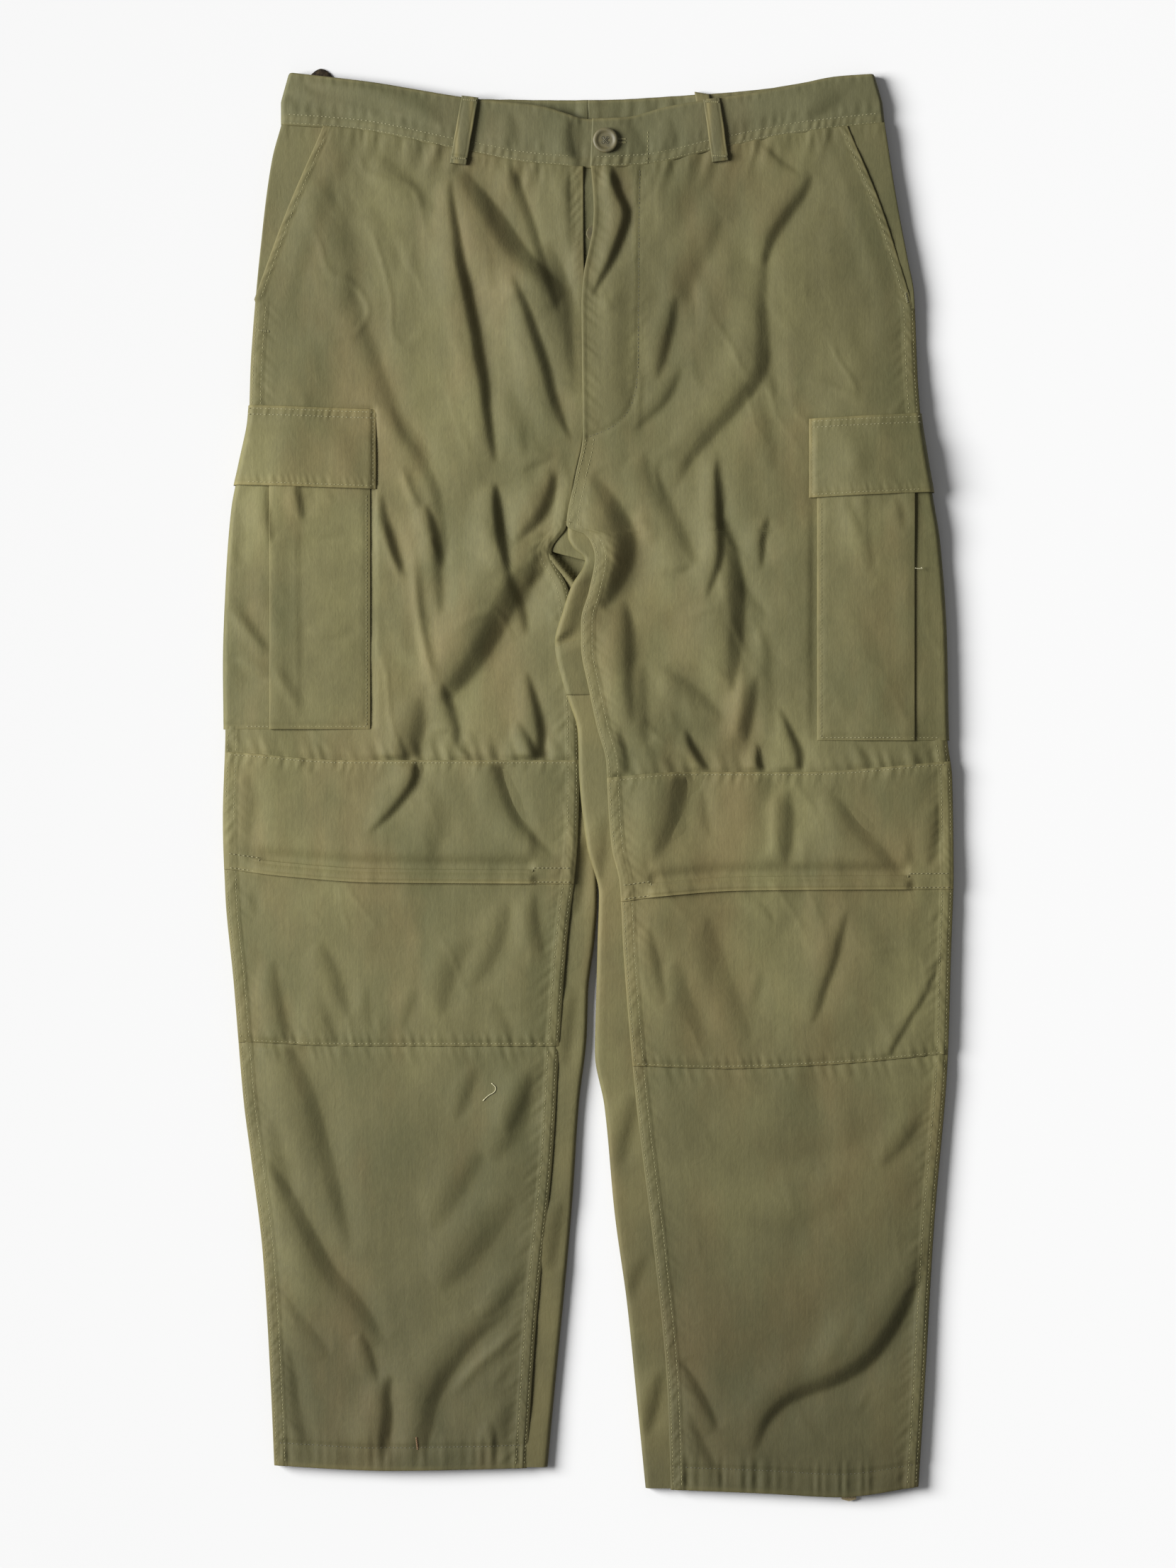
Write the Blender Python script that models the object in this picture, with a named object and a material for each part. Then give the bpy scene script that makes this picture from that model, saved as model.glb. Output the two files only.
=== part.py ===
"""Cargo trousers of cotton sateen, laid flat with the front up.

Every piece is a wall of cloth worked out from its own sizes. Sizes are in millimetres. A place on the garment is
(x, down): x is measured from the middle line, positive towards the wearer's left leg, and down is measured from
the highest corner of the waistband towards the hems. Heights are measured up from the surface it lies on.
The leg "r" is the wearer's right, the leg "l" the wearer's left. The left leg lies over the right one below the
crotch. The back panels lie on the surface and turn up round the edges of the legs, the front panels lie on them.
"""

import math

import bpy
import numpy as np

MM = 0.001

# ---------------------------------------------------------------- driving sizes, mm
CLOTH = 1.0  # one wall of cloth
BAND = 2.0  # the waistband, folded double
FLAP = 1.6  # a pocket flap, two layers sewn together
HEM = 1.6  # the turned-up hem
SEAM = 0.3  # between pieces that are sewn edge to edge
OVER = 0.6  # between a panel and what is sewn on it
TURN = 1.4  # radius of the middle of the wall where it turns round a leg's edge
LAP = 9.4  # a felled seam's lap
REST = 4.1  # underside of a front panel above the underside of its back panel
DIP = 1.9  # how much lower a front panel lies under a second layer
PLY = CLOTH + SEAM  # one more layer in a fold
TUCK = 10.0  # depth of the knee tuck
PLEAT = 23.0  # depth of the pocket pleat
FLY_RISE = 2.3  # the fly's left edge lies over the right half of the waistband
SLANT_RISE = 1.3  # the pocket edge lies over its facing
HIGH = 5.6  # the left leg's underside where it lies over the right leg
RISE_WIDE = 46.0  # from a pocket's hidden edge to where the leg over it is down on the surface again
HEM_DEEP = 17.0  # the hem's height
LIP = {"r": 22.0, "l": 45.0}  # how far a cargo pocket reaches round the side, under the leg

POCKET = {  # cargo pockets: front edge, pleat, mouth and bottom, and the flap over the mouth
    "r": dict(edge=-164.5, pleat=-240.0, mouth=287.0, bottom=495.0, flap_edge=-160.0, flap_top=253.0, flap_end=312.5),
    "l": dict(edge=173.0, pleat=246.0, mouth=292.0, bottom=503.5, flap_edge=167.0, flap_top=259.5, flap_end=318.5),
}
OUTWARD = {"r": -1.0, "l": 1.0}

# ---------------------------------------------------------------- lines of the garment: (x, down)
SIDE = {  # the leg's outer edge
    "r": [(-232, 40), (-239, 66), (-248, 136), (-251, 167), (-255, 223), (-256, 261), (-262, 298), (-268, 330),
          (-272.4, 387), (-274.4, 448), (-274, 495), (-276, 561), (-274, 622), (-268, 684), (-260, 779),
          (-255, 817), (-246, 890), (-240, 988), (-237, 1056)],
    "l": [(224, 39), (233, 96), (242, 144), (246, 165), (249, 235), (251, 262), (253, 280), (258, 316),
          (264.5, 357), (269.5, 429), (271, 500), (275, 533), (276, 602), (274, 667), (272, 737),
          (261, 875), (255, 979), (249, 1076)],
}
OUTSEAM = {  # where the front panel's outer edge is sewn down
    "r": [(-229, 40), (-236, 66), (-245, 136), (-248.5, 173), (-252, 223), (-252.5, 261), (-259, 298), (-265, 330),
          (-269.5, 387), (-271, 448), (-270.5, 495), (-271, 602), (-268, 643), (-262, 725), (-257, 779),
          (-251, 844), (-243, 908), (-237.5, 993), (-234.5, 1056)],
    "l": [(221, 39), (230, 96), (239, 144), (243, 165), (246, 235), (248, 262), (250, 280), (255, 316),
          (261.5, 357), (266.5, 429), (268, 500), (272, 533), (273, 602), (271, 667), (269, 737),
          (258, 875), (252, 979), (246, 1076)],
}
SLANT = {  # the slanted pocket edge, from the band to the side
    "r": [(-199, 40), (-227, 105), (-252, 173)],
    "l": [(194, 38), (220, 100), (243.5, 173)],
}
FRONT_IN = {  # the front panel's inner edge: fly, crotch seam, inseam
    "r": [(-9, 72), (-9, 181), (-5.5, 262), (-4.4, 272), (-11.4, 309), (-14.2, 327), (-16.5, 342), (-28, 361), (-15, 391),
          (-10, 426), (-7, 533), (-8, 577), (-11, 612), (-14, 635), (-17, 664), (-22, 734), (-27, 817),
          (-39, 939), (-47, 1056)],
    "l": [(1, 72), (-1, 123), (-3.4, 181), (-3.6, 272), (-10.5, 309), (-13.3, 327), (-15.5, 342), (-9, 349), (5, 365),
          (1, 391), (-5, 414), (-5, 432), (1, 466), (7, 494), (14, 521), (15, 544), (18, 584), (24, 611),
          (27, 664), (36, 771), (50, 888), (60, 992), (63, 1076)],
}
INNER = {  # the leg's inner edge; above the crotch it runs beside the seam in the middle of the back
    "r": [(-3, 60), (-17, 342), (-6, 356), (-2, 372), (-2, 400), (0, 453), (3, 533), (7, 622), (5, 653),
          (0, 694), (-1, 725), (-7, 779), (-12, 853), (-27, 1013), (-31, 1056)],
    "l": [(3, 60), (-11, 342), (-13, 352), (-4, 367), (-10, 386), (-18, 405), (-25, 431), (-17, 467),
          (-8, 498), (-7, 529), (-1, 584), (8, 620), (7, 654), (6, 694), (5, 740), (12, 779), (20, 862),
          (29, 927), (37, 1005), (44, 1076)],
}
CURL = {"r": (352, 400), "l": (345, 362)}  # below the crotch the back panel's inner edge turns up ...
LIP_GROWS = {"r": (392, 430), "l": (355, 372)}  # ... and reaches round to the inseam
HEM_EDGE = {
    "r": [(-240, 1050), (-155, 1054), (-31, 1052)],
    "l": [(44, 1068), (129, 1071), (189, 1074), (252, 1066)],
}
FRONT_BAND_SEAM = [(-232, 40), (-176, 44), (-99, 59), (-37, 70), (5, 72.5), (38, 71), (100, 58), (155, 47), (224, 39)]
FRONT_BAND_TOP = [(-226, 0), (-166, 7), (-92, 19), (-37, 25), (3, 35), (27, 34), (59, 26), (93, 20), (145, 12),
                  (188, 3), (216, 1)]
BACK_BAND_SEAM = [(-232, 40), (-144, 52), (-83, 58), (0, 60), (64, 57), (128, 51), (188, 43), (224, 39)]
BACK_BAND_TOP = [(-226, 0), (-144, 13), (-83, 19), (0, 20), (64, 17), (128, 12), (188, 3), (216, 1)]
PATCH_TOP = {"r": [(-267, 513), (-181, 519), (-8, 519)], "l": [(14, 533), (73, 528), (159, 528), (274, 520)]}
PATCH_TUCK = {"r": [(-271, 601), (-232, 606), (-160, 611), (-10, 612)],
              "l": [(24, 625), (46, 622), (118, 617), (274, 616)]}
PATCH_END = {"r": [(-261, 731), (-181, 734), (-22, 734)], "l": [(32, 749), (97, 751), (179, 748), (272, 740)]}

# Down the middle line: where the rows of a leg's panels lie, closest at the crotch.
ROWS = [72, 92, 116, 142, 170, 198, 226, 250, 272, 291, 309, 327, 342, 350, 360, 372, 386, 400, 415, 431, 450,
        470, 492, 514, 545, 585, 625, 665, 705, 738, 764, 792, 820, 850, 880, 910, 940, 968, 996, 1022, 1042, 1059]
ACROSS = 14  # cells across a front panel

# The largest folds. Each runs through its points; the cloth stands up on the side towards the top left of the
# garment and sinks along the line. piece, height, half width, then the line's (x, down) points.
FOLDS = [
    ("front_r", 5.5, 9, [(-105, 83), (-95, 151), (-85, 213), (-73, 280), (-67, 318), (-66, 368)]),
    ("front_r", 3.5, 10, [(-100, 79), (-77, 117), (-48, 146), (-27, 184)]),
    ("front_r", 3.5, 8, [(-56, 156), (-43, 194), (-25, 264)]),
    ("front_r", 2.0, 8, [(-63, 85), (-45, 119), (-22, 184)]),
    ("front_r", 2.5, 12, [(-203, 85), (-199, 108), (-176, 177), (-161, 230), (-136, 280)]),
    ("front_r", 3.0, 9, [(-153, 266), (-134, 314), (-121, 345)]),
    ("front_r", 2.5, 8, [(-119, 324), (-107, 352), (-112, 375)]),
    ("front_r", 2.0, 9, [(-157, 333), (-152, 356), (-138, 379)]),
    ("front_r", 3.0, 9, [(-132, 358), (-125, 410), (-115, 463)]),
    ("front_r", 6.5, 13, [(-31, 356), (-60, 379), (-73, 406), (-106, 444), (-109, 463), (-99, 503)]),
    ("front_r", 4.0, 8, [(-33, 356), (-46, 379), (-54, 402)]),
    ("front_r", 4.0, 9, [(-24, 299), (-26, 318), (-54, 352)]),
    ("front_r", 3.0, 8, [(-46, 452), (-35, 495), (-25, 512)]),
    ("front_r", 2.5, 8, [(-123, 475), (-132, 515)]),
    ("patch_r", 3.5, 9, [(-130, 524), (-142, 549), (-165, 574)]),
    ("patch_r", 3.5, 11, [(-71, 521), (-62, 553), (-39, 576), (-25, 593)]),
    ("patch_r", 2.5, 9, [(-237, 664), (-228, 727)]),
    ("patch_r", 2.0, 11, [(-201, 654), (-180, 702)]),
    ("patch_r", 2.0, 11, [(-100, 654), (-112, 683)]),
    ("front_r", 3.5, 11, [(-220, 750), (-207, 788), (-190, 851), (-177, 891)]),
    ("front_r", 6.0, 13, [(-227, 855), (-196, 912), (-150, 952), (-158, 969), (-150, 996), (-154, 1030)]),
    ("front_r", 5.0, 12, [(-47, 935), (-82, 950), (-106, 969), (-123, 998), (-128, 1033)]),
    ("front_r", 2.5, 10, [(-235, 927), (-196, 962)]),
    ("front_l", 5.5, 13, [(168, 77), (137, 123), (129, 177), (135, 228), (99, 261), (67, 304), (45, 351)]),
    ("front_l", 3.0, 12, [(102, 108), (72, 165), (57, 213)]),
    ("front_l", 2.5, 9, [(62, 174), (49, 230), (30, 270)]),
    ("front_l", 3.0, 9, [(5, 295), (51, 293)]),
    ("front_l", 6.0, 12, [(0, 314), (22, 341), (32, 368), (18, 394), (10, 414)]),
    ("front_l", 4.5, 10, [(97, 293), (99, 341), (105, 368), (101, 414), (108, 455)]),
    ("front_l", 2.5, 8, [(135, 343), (129, 364), (133, 381)]),
    ("front_l", 3.5, 11, [(59, 452), (80, 471), (107, 486)]),
    ("front_l", 3.0, 9, [(30, 406), (22, 432), (28, 480), (32, 520)]),
    ("front_l", 2.5, 8, [(125, 457), (118, 499)]),
    ("patch_l", 4.0, 11, [(67, 534), (62, 562), (36, 605)]),
    ("patch_l", 3.0, 10, [(148, 545), (151, 582)]),
    ("patch_l", 3.0, 10, [(183, 547), (214, 585), (238, 612)]),
    ("patch_l", 3.0, 11, [(85, 643), (102, 683), (125, 727)]),
    ("patch_l", 3.0, 10, [(194, 635), (175, 683), (169, 713)]),
    ("patch_l", 2.5, 8, [(269, 664), (248, 704), (225, 740)]),
    ("front_l", 7.0, 13, [(258, 886), (239, 923), (216, 961), (178, 984), (142, 1001), (123, 1034)]),
    ("front_l", 3.0, 9, [(67, 976), (83, 1001), (94, 1024)]),
    ("front_l", 2.5, 10, [(251, 789), (226, 823)]),
    ("pouch_r", 2.0, 8, [(-262, 406), (-239, 438)]),
]

# ---------------------------------------------------------------- small helpers


def smooth(t):
    t = np.clip(t, 0.0, 1.0)
    return t * t * (3.0 - 2.0 * t)


def ramp(value, start, end):
    """0 before start, 1 after end, with rounded corners."""
    return smooth((value - start) / (end - start))


def slope(value, start, end):
    """0 before start, 1 after end, straight between."""
    return np.clip((value - start) / (end - start), 0.0, 1.0)


def no_lower(value, lowest, soft=0.3):
    """value where it is above lowest, and just above lowest elsewhere, with a rounded corner."""
    gap = value - lowest
    return lowest + 0.5 * (gap + np.sqrt(gap * gap + soft * soft))


def curve(points, along=1):
    """A function of down (along=1) or of x (along=0) through the points, with no overshoot between them."""
    table = np.array(sorted(points, key=lambda p: p[along]), dtype=float)
    key, val = table[:, along], table[:, 1 - along]
    step = np.diff(key)
    slope = np.diff(val) / step
    tangent = np.concatenate([[slope[0]], np.zeros(len(key) - 2), [slope[-1]]])
    same = slope[:-1] * slope[1:] > 0
    a, b = 2 * step[1:] + step[:-1], step[1:] + 2 * step[:-1]
    tangent[1:-1][same] = ((a + b)[same]) / (a[same] / slope[:-1][same] + b[same] / slope[1:][same])

    def at(where):
        where = np.clip(np.asarray(where, dtype=float), key[0], key[-1])
        i = np.clip(np.searchsorted(key, where) - 1, 0, len(step) - 1)
        t = (where - key[i]) / step[i]
        h = step[i]
        return (
            val[i] * (1 + 2 * t) * (1 - t) ** 2
            + h * tangent[i] * t * (1 - t) ** 2
            + val[i + 1] * t * t * (3 - 2 * t)
            + h * tangent[i + 1] * t * t * (t - 1)
        )

    return at


side = {leg: curve(SIDE[leg]) for leg in SIDE}
outseam = {leg: curve(OUTSEAM[leg]) for leg in OUTSEAM}
slant = {leg: curve(SLANT[leg]) for leg in SLANT}
front_in = {leg: curve(FRONT_IN[leg]) for leg in FRONT_IN}
inner = {leg: curve(INNER[leg]) for leg in INNER}
hem_edge = {leg: curve(HEM_EDGE[leg], 0) for leg in HEM_EDGE}
front_band_seam, front_band_top = curve(FRONT_BAND_SEAM, 0), curve(FRONT_BAND_TOP, 0)
back_band_seam, back_band_top = curve(BACK_BAND_SEAM, 0), curve(BACK_BAND_TOP, 0)
patch_top = {leg: curve(PATCH_TOP[leg], 0) for leg in PATCH_TOP}
patch_tuck = {leg: curve(PATCH_TUCK[leg], 0) for leg in PATCH_TUCK}
patch_end = {leg: curve(PATCH_END[leg], 0) for leg in PATCH_END}
SLANT_FOOT = 173.0  # where the slanted pocket edge meets the side


def front_out(leg, down):
    """The front panel's outer edge: the pocket's slant above, the outseam below."""
    return np.where(down < SLANT_FOOT, slant[leg](down), outseam[leg](down))


# ---------------------------------------------------------------- how high things lie


def fold_height(piece, x, down):
    """The folds of one piece, up where the cloth stands and down along the crease."""
    total = np.zeros_like(x)
    for name, height, half, points in FOLDS:
        if name != piece:
            continue
        p = np.array(points, dtype=float)
        lengths = np.hypot(*np.diff(p, axis=0).T)
        run = np.concatenate([[0.0], np.cumsum(lengths)])
        best = np.full(x.shape, 1e9)
        signed, where = np.zeros_like(x), np.zeros_like(x)
        for i, length in enumerate(lengths):
            tx, td = (p[i + 1] - p[i]) / length
            nx, nd = td, -tx
            if nx * -0.8 + nd * -0.6 < 0:
                nx, nd = -nx, -nd
            rx, rd = x - p[i, 0], down - p[i, 1]
            t = np.clip(rx * tx + rd * td, 0.0, length)
            off = np.hypot(rx - t * tx, rd - t * td)
            nearer = off < best
            best = np.where(nearer, off, best)
            signed = np.where(nearer, np.sign(rx * nx + rd * nd) * off, signed)
            where = np.where(nearer, (run[i] + t) / run[-1], where)
        taper = smooth((where + 0.04) / 0.25) * smooth((1.04 - where) / 0.3)
        ridge = np.exp(-(((signed - half) / half) ** 2))
        crease = np.exp(-(((signed + 0.2 * half) / (0.7 * half)) ** 2))
        total += height * taper * (ridge - 0.6 * crease)
    return total


def under_pocket(leg, x, down):
    """How far the leg is raised near its side by the flap's and the pouch's hidden edges under it: (flap, pouch)."""
    inward = OUTWARD[leg] * (side[leg](down) - x)
    near = 1.0 - slope(inward, LIP[leg] + 2, LIP[leg] + RISE_WIDE)
    flap = (FLAP + SEAM) * near * slope(down, 198, 226) * (1.0 - slope(down, 342, 372))
    pouch = PLY * near * slope(down, 226, 250) * (1.0 - slope(down, 514, 545))
    return flap, pouch


def over_leg(x, down):
    """How far the left leg is raised where it lies over the right one."""
    along = ramp(down, 318, 375) * (1.0 - ramp(down, 652, 760))
    return HIGH * along * (1.0 - slope(x - front_in["l"](down), LAP + 8, LAP + 68))


def base(leg, x, down):
    """The height of a leg's underside."""
    flap, pouch = under_pocket(leg, x, down)
    lift = flap + pouch
    if leg == "l":
        lift = lift + over_leg(x, down)
    return lift


def in_patch(leg, x, down, inset):
    """1 well inside the knee patch, 0 within inset of its edges."""
    from_side = OUTWARD[leg] * (outseam[leg](down) - x)
    from_in = OUTWARD[leg] * (x - front_in[leg](down))
    return (
        ramp(down - patch_top[leg](x), inset, inset + 20)
        * ramp(patch_end[leg](x) - down, inset, inset + 20)
        * ramp(from_side, inset + 19, inset + 36)
        * ramp(from_in, inset + 19, inset + 36)
    )


def in_pouch(leg, x, down, inset):
    """1 well inside the cargo pouch, 0 within inset of its edges."""
    pocket = POCKET[leg]
    from_side = OUTWARD[leg] * (outseam[leg](down) - x)
    from_edge = OUTWARD[leg] * (x - pocket["edge"])
    return (
        ramp(down - pocket["mouth"], inset + 30, inset + 50)
        * ramp(pocket["bottom"] - down, inset, inset + 20)
        * ramp(from_side, inset + 19, inset + 34)
        * ramp(from_edge, inset, inset + 16)
    )


def covered(leg, x, down):
    """1 where the front panel lies plain under a second layer."""
    pocket = POCKET[leg]
    patch = ramp(down - patch_top[leg](x), -16, -3) * ramp(patch_end[leg](x) - down, -16, -3)
    beside = ramp(OUTWARD[leg] * (x - min(pocket["edge"], pocket["flap_edge"], key=abs)), -16, -3)
    pouch = beside * ramp(down, pocket["flap_top"] - 18, pocket["flap_top"] - 5)
    pouch = pouch * (1.0 - ramp(down, pocket["bottom"] + 4, pocket["bottom"] + 16))
    return np.maximum(patch, pouch)


def front_under(leg, x, down):
    """The underside of a front panel."""
    from_in = OUTWARD[leg] * (x - front_in[leg](down))
    from_out = OUTWARD[leg] * (front_out(leg, down) - x)
    level = REST - DIP * in_patch(leg, x, down, 0) - DIP * in_pouch(leg, x, down, 0)
    level = level + SLANT_RISE * (1 - ramp(from_out, 18, 34)) * (1 - ramp(down, SLANT_FOOT + 12, SLANT_FOOT + 40))
    if leg == "l":
        level = level + FLY_RISE * (1 - ramp(x, 13, 34)) * (1 - ramp(down, 240, 300))
    folds = fold_height("front_" + leg, x, down) * (1 - covered(leg, x, down))
    if leg == "r":  # quiet where the left leg lies over it, and over the fly's underlap
        folds = folds * (1 - (1 - ramp(from_in, 19, 34)) * ramp(down, 375, 400))
    folds = folds * ramp(down - front_band_seam(x), 0, 22) * ramp(hem_edge[leg](x) - down, 2, HEM_DEEP + 8)
    # A crease may sink towards the back panel, but not over the back panel's turned edges.
    edge = (1 - ramp(np.minimum(from_in, from_out), LAP + 10, LAP + 26)) * ramp(down, 330, 350)
    edge = np.maximum(edge, 1 - ramp(from_out, LAP + 10, LAP + 26))
    lowest = np.minimum(level, REST * edge + (CLOTH + 2 * SEAM) * (1 - edge))
    fly = (1 - ramp(np.abs(x), 18, 30)) * (1 - ramp(down, 276, 296))
    lowest = np.maximum(lowest, np.minimum(level, REST * fly))
    return base(leg, x, down) + no_lower(level + folds, lowest)


def front_top(leg, x, down):
    """The upper face of a front panel, double at the hem."""
    hem = 1 - ramp(hem_edge[leg](x) - down, HEM_DEEP - 2, HEM_DEEP + 2)
    return front_under(leg, x, down) + CLOTH + (HEM - CLOTH) * hem


def patch_under(leg, x, down):
    """The underside of a knee patch, without the tuck's extra layers."""
    dip = in_patch(leg, x, down, 8)
    near_tuck = np.exp(-(((down - patch_tuck[leg](x)) / 15.0) ** 2))
    lowest = REST + CLOTH + OVER - DIP * dip
    level = REST + CLOTH + OVER - DIP * dip * near_tuck
    inside = ramp(down - patch_top[leg](x), 2, 16) * ramp(patch_end[leg](x) - down, 2, 16)
    folds = fold_height("patch_" + leg, x, down) * inside * (1 - 0.7 * near_tuck)
    return base(leg, x, down) + no_lower(level + folds, lowest, 0.2)


def pouch_under(leg, x, down):
    """The underside of a cargo pouch on the front, without the pleat's extra layers."""
    lowest = REST + CLOTH + OVER - DIP * in_pouch(leg, x, down, 6)
    return base(leg, x, down) + no_lower(lowest + fold_height("pouch_" + leg, x, down), lowest, 0.1)


# ---------------------------------------------------------------- making solids
MATERIALS = {  # sRGB colour, roughness, metallic
    "sateen": ((0.48, 0.45, 0.31), 0.75, 0.0),
    "plastic": ((0.38, 0.36, 0.25), 0.45, 0.0),
    "brass": ((0.16, 0.14, 0.12), 0.45, 0.9),
    "tape": ((0.50, 0.44, 0.33), 0.8, 0.0),
}


def linear(c):
    return c / 12.92 if c <= 0.04045 else ((c + 0.055) / 1.055) ** 2.4


def material(name):
    found = bpy.data.materials.get(name)
    if found:
        return found
    colour, roughness, metallic = MATERIALS[name]
    made = bpy.data.materials.new(name)
    made.use_nodes = True
    shader = made.node_tree.nodes["Principled BSDF"]
    shader.inputs["Base Color"].default_value = (*[linear(c) for c in colour], 1.0)
    shader.inputs["Roughness"].default_value = roughness
    shader.inputs["Metallic"].default_value = metallic
    return made


def add_object(name, points, faces, finish, smooth_shaded=True):
    """points are (x, down, height) in mm; the garment lies with its waist towards +Y."""
    world = np.column_stack([points[:, 0], -points[:, 1], points[:, 2]]) * MM
    mesh = bpy.data.meshes.new(name)
    mesh.from_pydata(world.tolist(), [], faces)
    mesh.validate()
    mesh.materials.append(material(finish))
    if smooth_shaded:
        mesh.shade_smooth()
        mesh.set_sharp_from_angle(angle=math.radians(40))
    thing = bpy.data.objects.new(name, mesh)
    bpy.context.scene.collection.objects.link(thing)
    return thing


def wall(name, middle, normal, thick, finish="sateen"):
    """A closed wall: middle and normal are (rows, columns, 3) in (x, down, height), thick is in mm."""
    rows, cols = middle.shape[:2]
    half = np.broadcast_to(np.asarray(thick, dtype=float), (rows, cols))[..., None] / 2
    outer, under = middle + normal * half, middle - normal * half
    points = np.concatenate([outer.reshape(-1, 3), under.reshape(-1, 3)])
    n = rows * cols
    faces = []
    for r in range(rows - 1):
        for c in range(cols - 1):
            a = r * cols + c
            # Both sides of the wall bend along the same diagonal, so that the wall keeps its thickness.
            for bend in ((a, a + 1, a + cols + 1), (a, a + cols + 1, a + cols)):
                faces.append(bend)
                faces.append(tuple(n + k for k in reversed(bend)))
    rim = [c for c in range(cols)]
    rim += [r * cols + cols - 1 for r in range(1, rows)]
    rim += [(rows - 1) * cols + c for c in range(cols - 2, -1, -1)]
    rim += [r * cols for r in range(rows - 2, 0, -1)]
    for a, b in zip(rim, rim[1:] + rim[:1]):
        faces.append((b, a, n + a, n + b))
    # In (x, -down, height) a quad turns the other way when the grid runs the other way.
    u, v = middle[0, 1] - middle[0, 0], middle[1, 0] - middle[0, 0]
    flip = np.array([1.0, -1.0, 1.0])
    if np.dot(np.cross(u * flip, v * flip), normal[0, 0] * flip) < 0:
        faces = [tuple(reversed(f)) for f in faces]
    return add_object(name, points, faces, finish)


def flat_wall(name, x, down, under, thick, finish="sateen"):
    """A wall over a grid of places: under is its underside, and its thickness is measured straight up."""
    middle = np.stack([x, down, under + np.asarray(thick) / 2], axis=-1)
    return wall(name, middle, np.broadcast_to([0.0, 0.0, 1.0], middle.shape), thick, finish)


def leg_rows(leg, x_at, cols, top):
    """Places on a leg's panel. x_at(column, down) gives x; top is the seam above. The rows follow the seam near
    it and the hem near that, and are the same for every panel between."""
    rows = np.array(ROWS, dtype=float)
    near_top, near_hem = 1.0 - slope(rows, ROWS[0], 198), slope(rows, 880, ROWS[-1])
    x, down = np.zeros((len(rows), cols)), np.zeros((len(rows), cols))
    for c in range(cols):
        down[:, c] = rows
        for _ in range(6):
            x[:, c] = x_at(c, down[:, c])
            from_top, from_hem = top(x[:, c]) + 2 * SEAM - ROWS[0], hem_edge[leg](x[:, c]) - ROWS[-1]
            down[:, c] = rows + from_top * near_top + from_hem * near_hem
    return x, down


# ---------------------------------------------------------------- the pieces


def make_front(leg):
    def x_at(c, down):
        u = c / ACROSS
        return front_in[leg](down) * (1 - u) + front_out(leg, down) * u

    x, down = leg_rows(leg, x_at, ACROSS + 1, front_band_seam)
    under = front_under(leg, x, down)
    return flat_wall("front_" + leg, x, down, under, front_top(leg, x, down) - under)


def turned_edge(x_flat, outward, curl, lip, steps=3, lip_cells=1):
    """A wall that turns up from x_flat on the floor and back over itself. x_flat, curl (0 to 1) and lip are per row.
    Gives lists of x, height of the wall's middle above the floor wall's middle, and normal (x, up)."""
    arc = math.pi * TURN
    angle = np.maximum(math.pi * curl, 1e-3)
    radius = arc / angle
    xs, zs, nxs, nzs = [], [], [], []
    for k in range(1, steps + 1):
        a = angle * k / steps
        xs.append(x_flat + outward * radius * np.sin(a))
        zs.append(radius * (1 - np.cos(a)))
        nxs.append(outward * np.sin(a))
        nzs.append(-np.cos(a))
    for k in range(1, lip_cells + 1):
        far = lip * k / lip_cells
        xs.append(xs[steps - 1] + outward * np.cos(angle) * far)
        zs.append(zs[steps - 1] + np.sin(angle) * far)
        nxs.append(nxs[steps - 1])
        nzs.append(nzs[steps - 1])
    return xs, zs, nxs, nzs


def make_back(leg):
    """The back panel: on the floor, turned up round both edges and under the front panel's felled seams."""
    out = OUTWARD[leg]
    reach = TURN + CLOTH / 2
    # Columns on the floor, closer where the panel climbs over what lies under it.
    from_seam = {"r": [LAP + 30], "l": [LAP + 8, LAP + 38, LAP + 68]}[leg]
    from_side = [LIP[leg] + RISE_WIDE, LIP[leg] + 2, reach]
    floor_cells = 1 + len(from_seam) + len(from_side)

    def x_at(c, down):
        if c == 0:
            return inner[leg](down) + out * reach
        if c <= len(from_seam):
            return front_in[leg](down) + out * from_seam[c - 1]
        seam_end = front_in[leg](down) + out * from_seam[-1]
        if c == len(from_seam) + 1:
            return (seam_end + side[leg](down) - out * from_side[0]) / 2
        return side[leg](down) - out * from_side[c - len(from_seam) - 2]

    x, down = leg_rows(leg, x_at, floor_cells + 1, back_band_seam)
    columns = [(x[:, c], down[:, c], np.zeros(len(x)), np.zeros(len(x)), -np.ones(len(x))) for c in range(floor_cells + 1)]

    def edge(c, outward, curl, lip, lip_cells):
        made = turned_edge(x[:, c], outward, curl, lip, lip_cells=lip_cells)
        return [(ex, down[:, c], ez, nx, nz) for ex, ez, nx, nz in zip(*made)]

    d_in, d_out = down[:, 0], down[:, -1]
    curl_in = ramp(d_in, *CURL[leg])
    full = np.abs(front_in[leg](d_in) + out * LAP - x[:, 0])
    lip_in = SEAM + ramp(d_in, *LIP_GROWS[leg]) * (full - SEAM)
    lip_out = np.abs(outseam[leg](d_out) - out * LAP - x[:, -1])
    inside = edge(0, -out, curl_in, lip_in, 1)
    outside = edge(-1, out, np.ones_like(d_out), lip_out, 1)
    columns = inside[::-1] + columns + outside
    px, pd, pz, nx, nz = (np.stack(part, axis=1) for part in zip(*columns))
    pd[0] = np.maximum(pd[0], back_band_seam(px[0]) + 2 * SEAM)
    height = base(leg, px, pd) + CLOTH / 2 + pz
    middle = np.stack([px, pd, height], axis=-1)
    normal = np.stack([nx, np.zeros_like(nx), nz], axis=-1)
    return wall("back_" + leg, middle, normal, CLOTH)


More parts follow.
